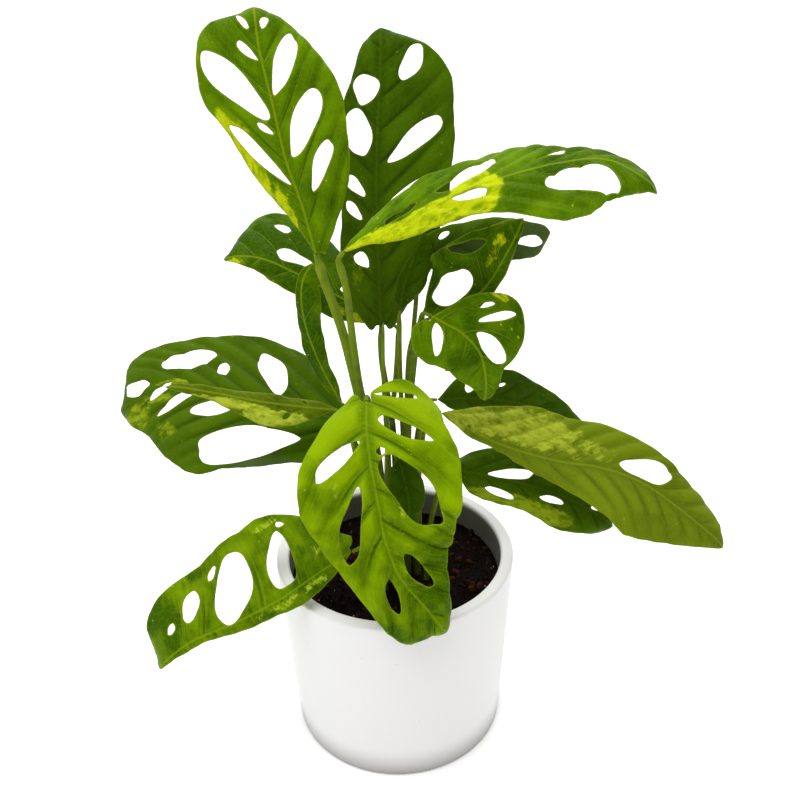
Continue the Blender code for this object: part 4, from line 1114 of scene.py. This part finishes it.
petiole = {"Sides": 14, "Step": 2.0 * MM, "Groove": 0.22}
tree, given, result = new_geometry_tree("petiole_sweep", petiole)
stepped = {"Curve": given["Geometry"], "Length": given["Step"]}
evened = first(tree, "GeometryNodeResampleCurve", stepped, mode="LENGTH")
travel = node(tree, "GeometryNodeSplineParameter").outputs["Length"]
marked = stored(tree, evened, "along", travel)
ring_curve = first(tree, "GeometryNodeCurvePrimitiveCircle", {"Resolution": given["Sides"], "Radius": 1.0})
profile_at = first(tree, "GeometryNodeInputPosition")
profile_y = split(tree, profile_at)[1]
dip = times(tree, number(tree, "MAXIMUM", number(tree, "SUBTRACT", profile_y, 0.75), 0.0), -4.0)
dent = first(tree, "ShaderNodeCombineXYZ", {1: times(tree, dip, given["Groove"])})
grooved = first(tree, "GeometryNodeSetPosition", {"Geometry": ring_curve, "Offset": dent})
thickness = first(tree, "GeometryNodeInputRadius")
sweep = {"Curve": marked, "Profile Curve": grooved, "Scale": thickness, "Fill Caps": True}
swept = first(tree, "GeometryNodeCurveToMesh", sweep)
real = first(tree, "GeometryNodeRealizeInstances", {0: swept})
smoothed = first(tree, "GeometryNodeSetShadeSmooth", {"Geometry": real})
painted = node(tree, "GeometryNodeSetMaterial", {"Geometry": smoothed, "Material": petiole_skin})
tree.links.new(painted.outputs[0], result.inputs[0])


def rod(name, routes):
    """Sweeps every route of (points, radius, taper, tint, knee, narrowing) into one grooved mesh."""
    curve = bpy.data.curves.new(name, "CURVE")
    curve.dimensions = "3D"
    for points, radius, taper, _, knee, narrowing in routes:
        spline = curve.splines.new("POLY")
        spline.points.add(len(points) - 1)
        spline.points.foreach_set("co", np.hstack([points, np.ones((len(points), 1))]).ravel())
        share = np.linspace(0, 1, len(points))
        swollen = 1 + (taper - 1) * share + knee * np.exp(-(((share - 0.93) / 0.045) ** 2))
        swollen += 0.12 * np.exp(-((share / 0.04) ** 2))
        swollen *= 1 - narrowing * np.clip((share - 0.93) / 0.07, 0, 1) ** 2
        spline.points.foreach_set("radius", radius * MM * swollen)
    base = bpy.data.objects.new(name, curve)
    scene.collection.objects.link(base)
    made = grown(base, tree, name, petiole)
    spots = np.empty(len(made.data.vertices) * 3)
    made.data.vertices.foreach_get("co", spots)
    lookup = KDTree(sum(len(route[0]) for route in routes))
    shades = []
    for points, _, _, shade, _, _ in routes:
        for i, point in enumerate(points):
            lookup.insert(point, len(shades))
            shades.append(shade - 0.35 + 0.5 * i / len(points))
    lookup.balance()
    tints = [shades[lookup.find(spot)[1]] for spot in spots.reshape(-1, 3)]
    made.data.attributes.new("tint", "FLOAT", "POINT").data.foreach_set("value", tints)
    return made


routes = []
chance = np.random.default_rng(31)
for name, (_, shape) in LEAVES.items():
    radius, (foot_xy, *bends) = STEMS[name]
    rib = Midrib(shape["midrib"], shape["face"], shape.get("tip_face"))
    forward, up, _ = (vectors[0] for vectors in rib.frame(np.zeros(1)))
    root = rib.at(0.0)
    neck = root - forward * 5 * MM - up * 2.5 * MM
    end = root - forward * 0.5 * MM - up * 0.3 * MM
    soil = np.array((0.0, 0.0, SOIL_TOP))
    places = [np.array((*foot_xy, -1.0)) * MM + soil]
    places += [np.array(bend) * MM + soil for bend in bends]
    path = smooth_path([*places, neck], 16)
    routes.append((np.vstack([path, end]), radius, 0.85, chance.uniform(0.4, 1.0), 0.08, 0.45))
stems = rod("petioles", routes)
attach(stems, "root")
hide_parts(*(f"stem_{name}" for name in STEMS))

# The newest leaf, still rolled tight into a pointed spear.
spear_bends = [(-3, 2, -1), (-2, 1, 77), (-3, 1, 130), (-2, 0, 163.5)]
spear_path = smooth_path(np.array(spear_bends) * MM + np.array((0.0, 0.0, SOIL_TOP)), 20)
spear = rod("rolled_new_leaf", [(spear_path, 2.2, 0.3, 1.1, 0.0, 0.5)])
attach(spear, "root")
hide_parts("new_leaf_spear")
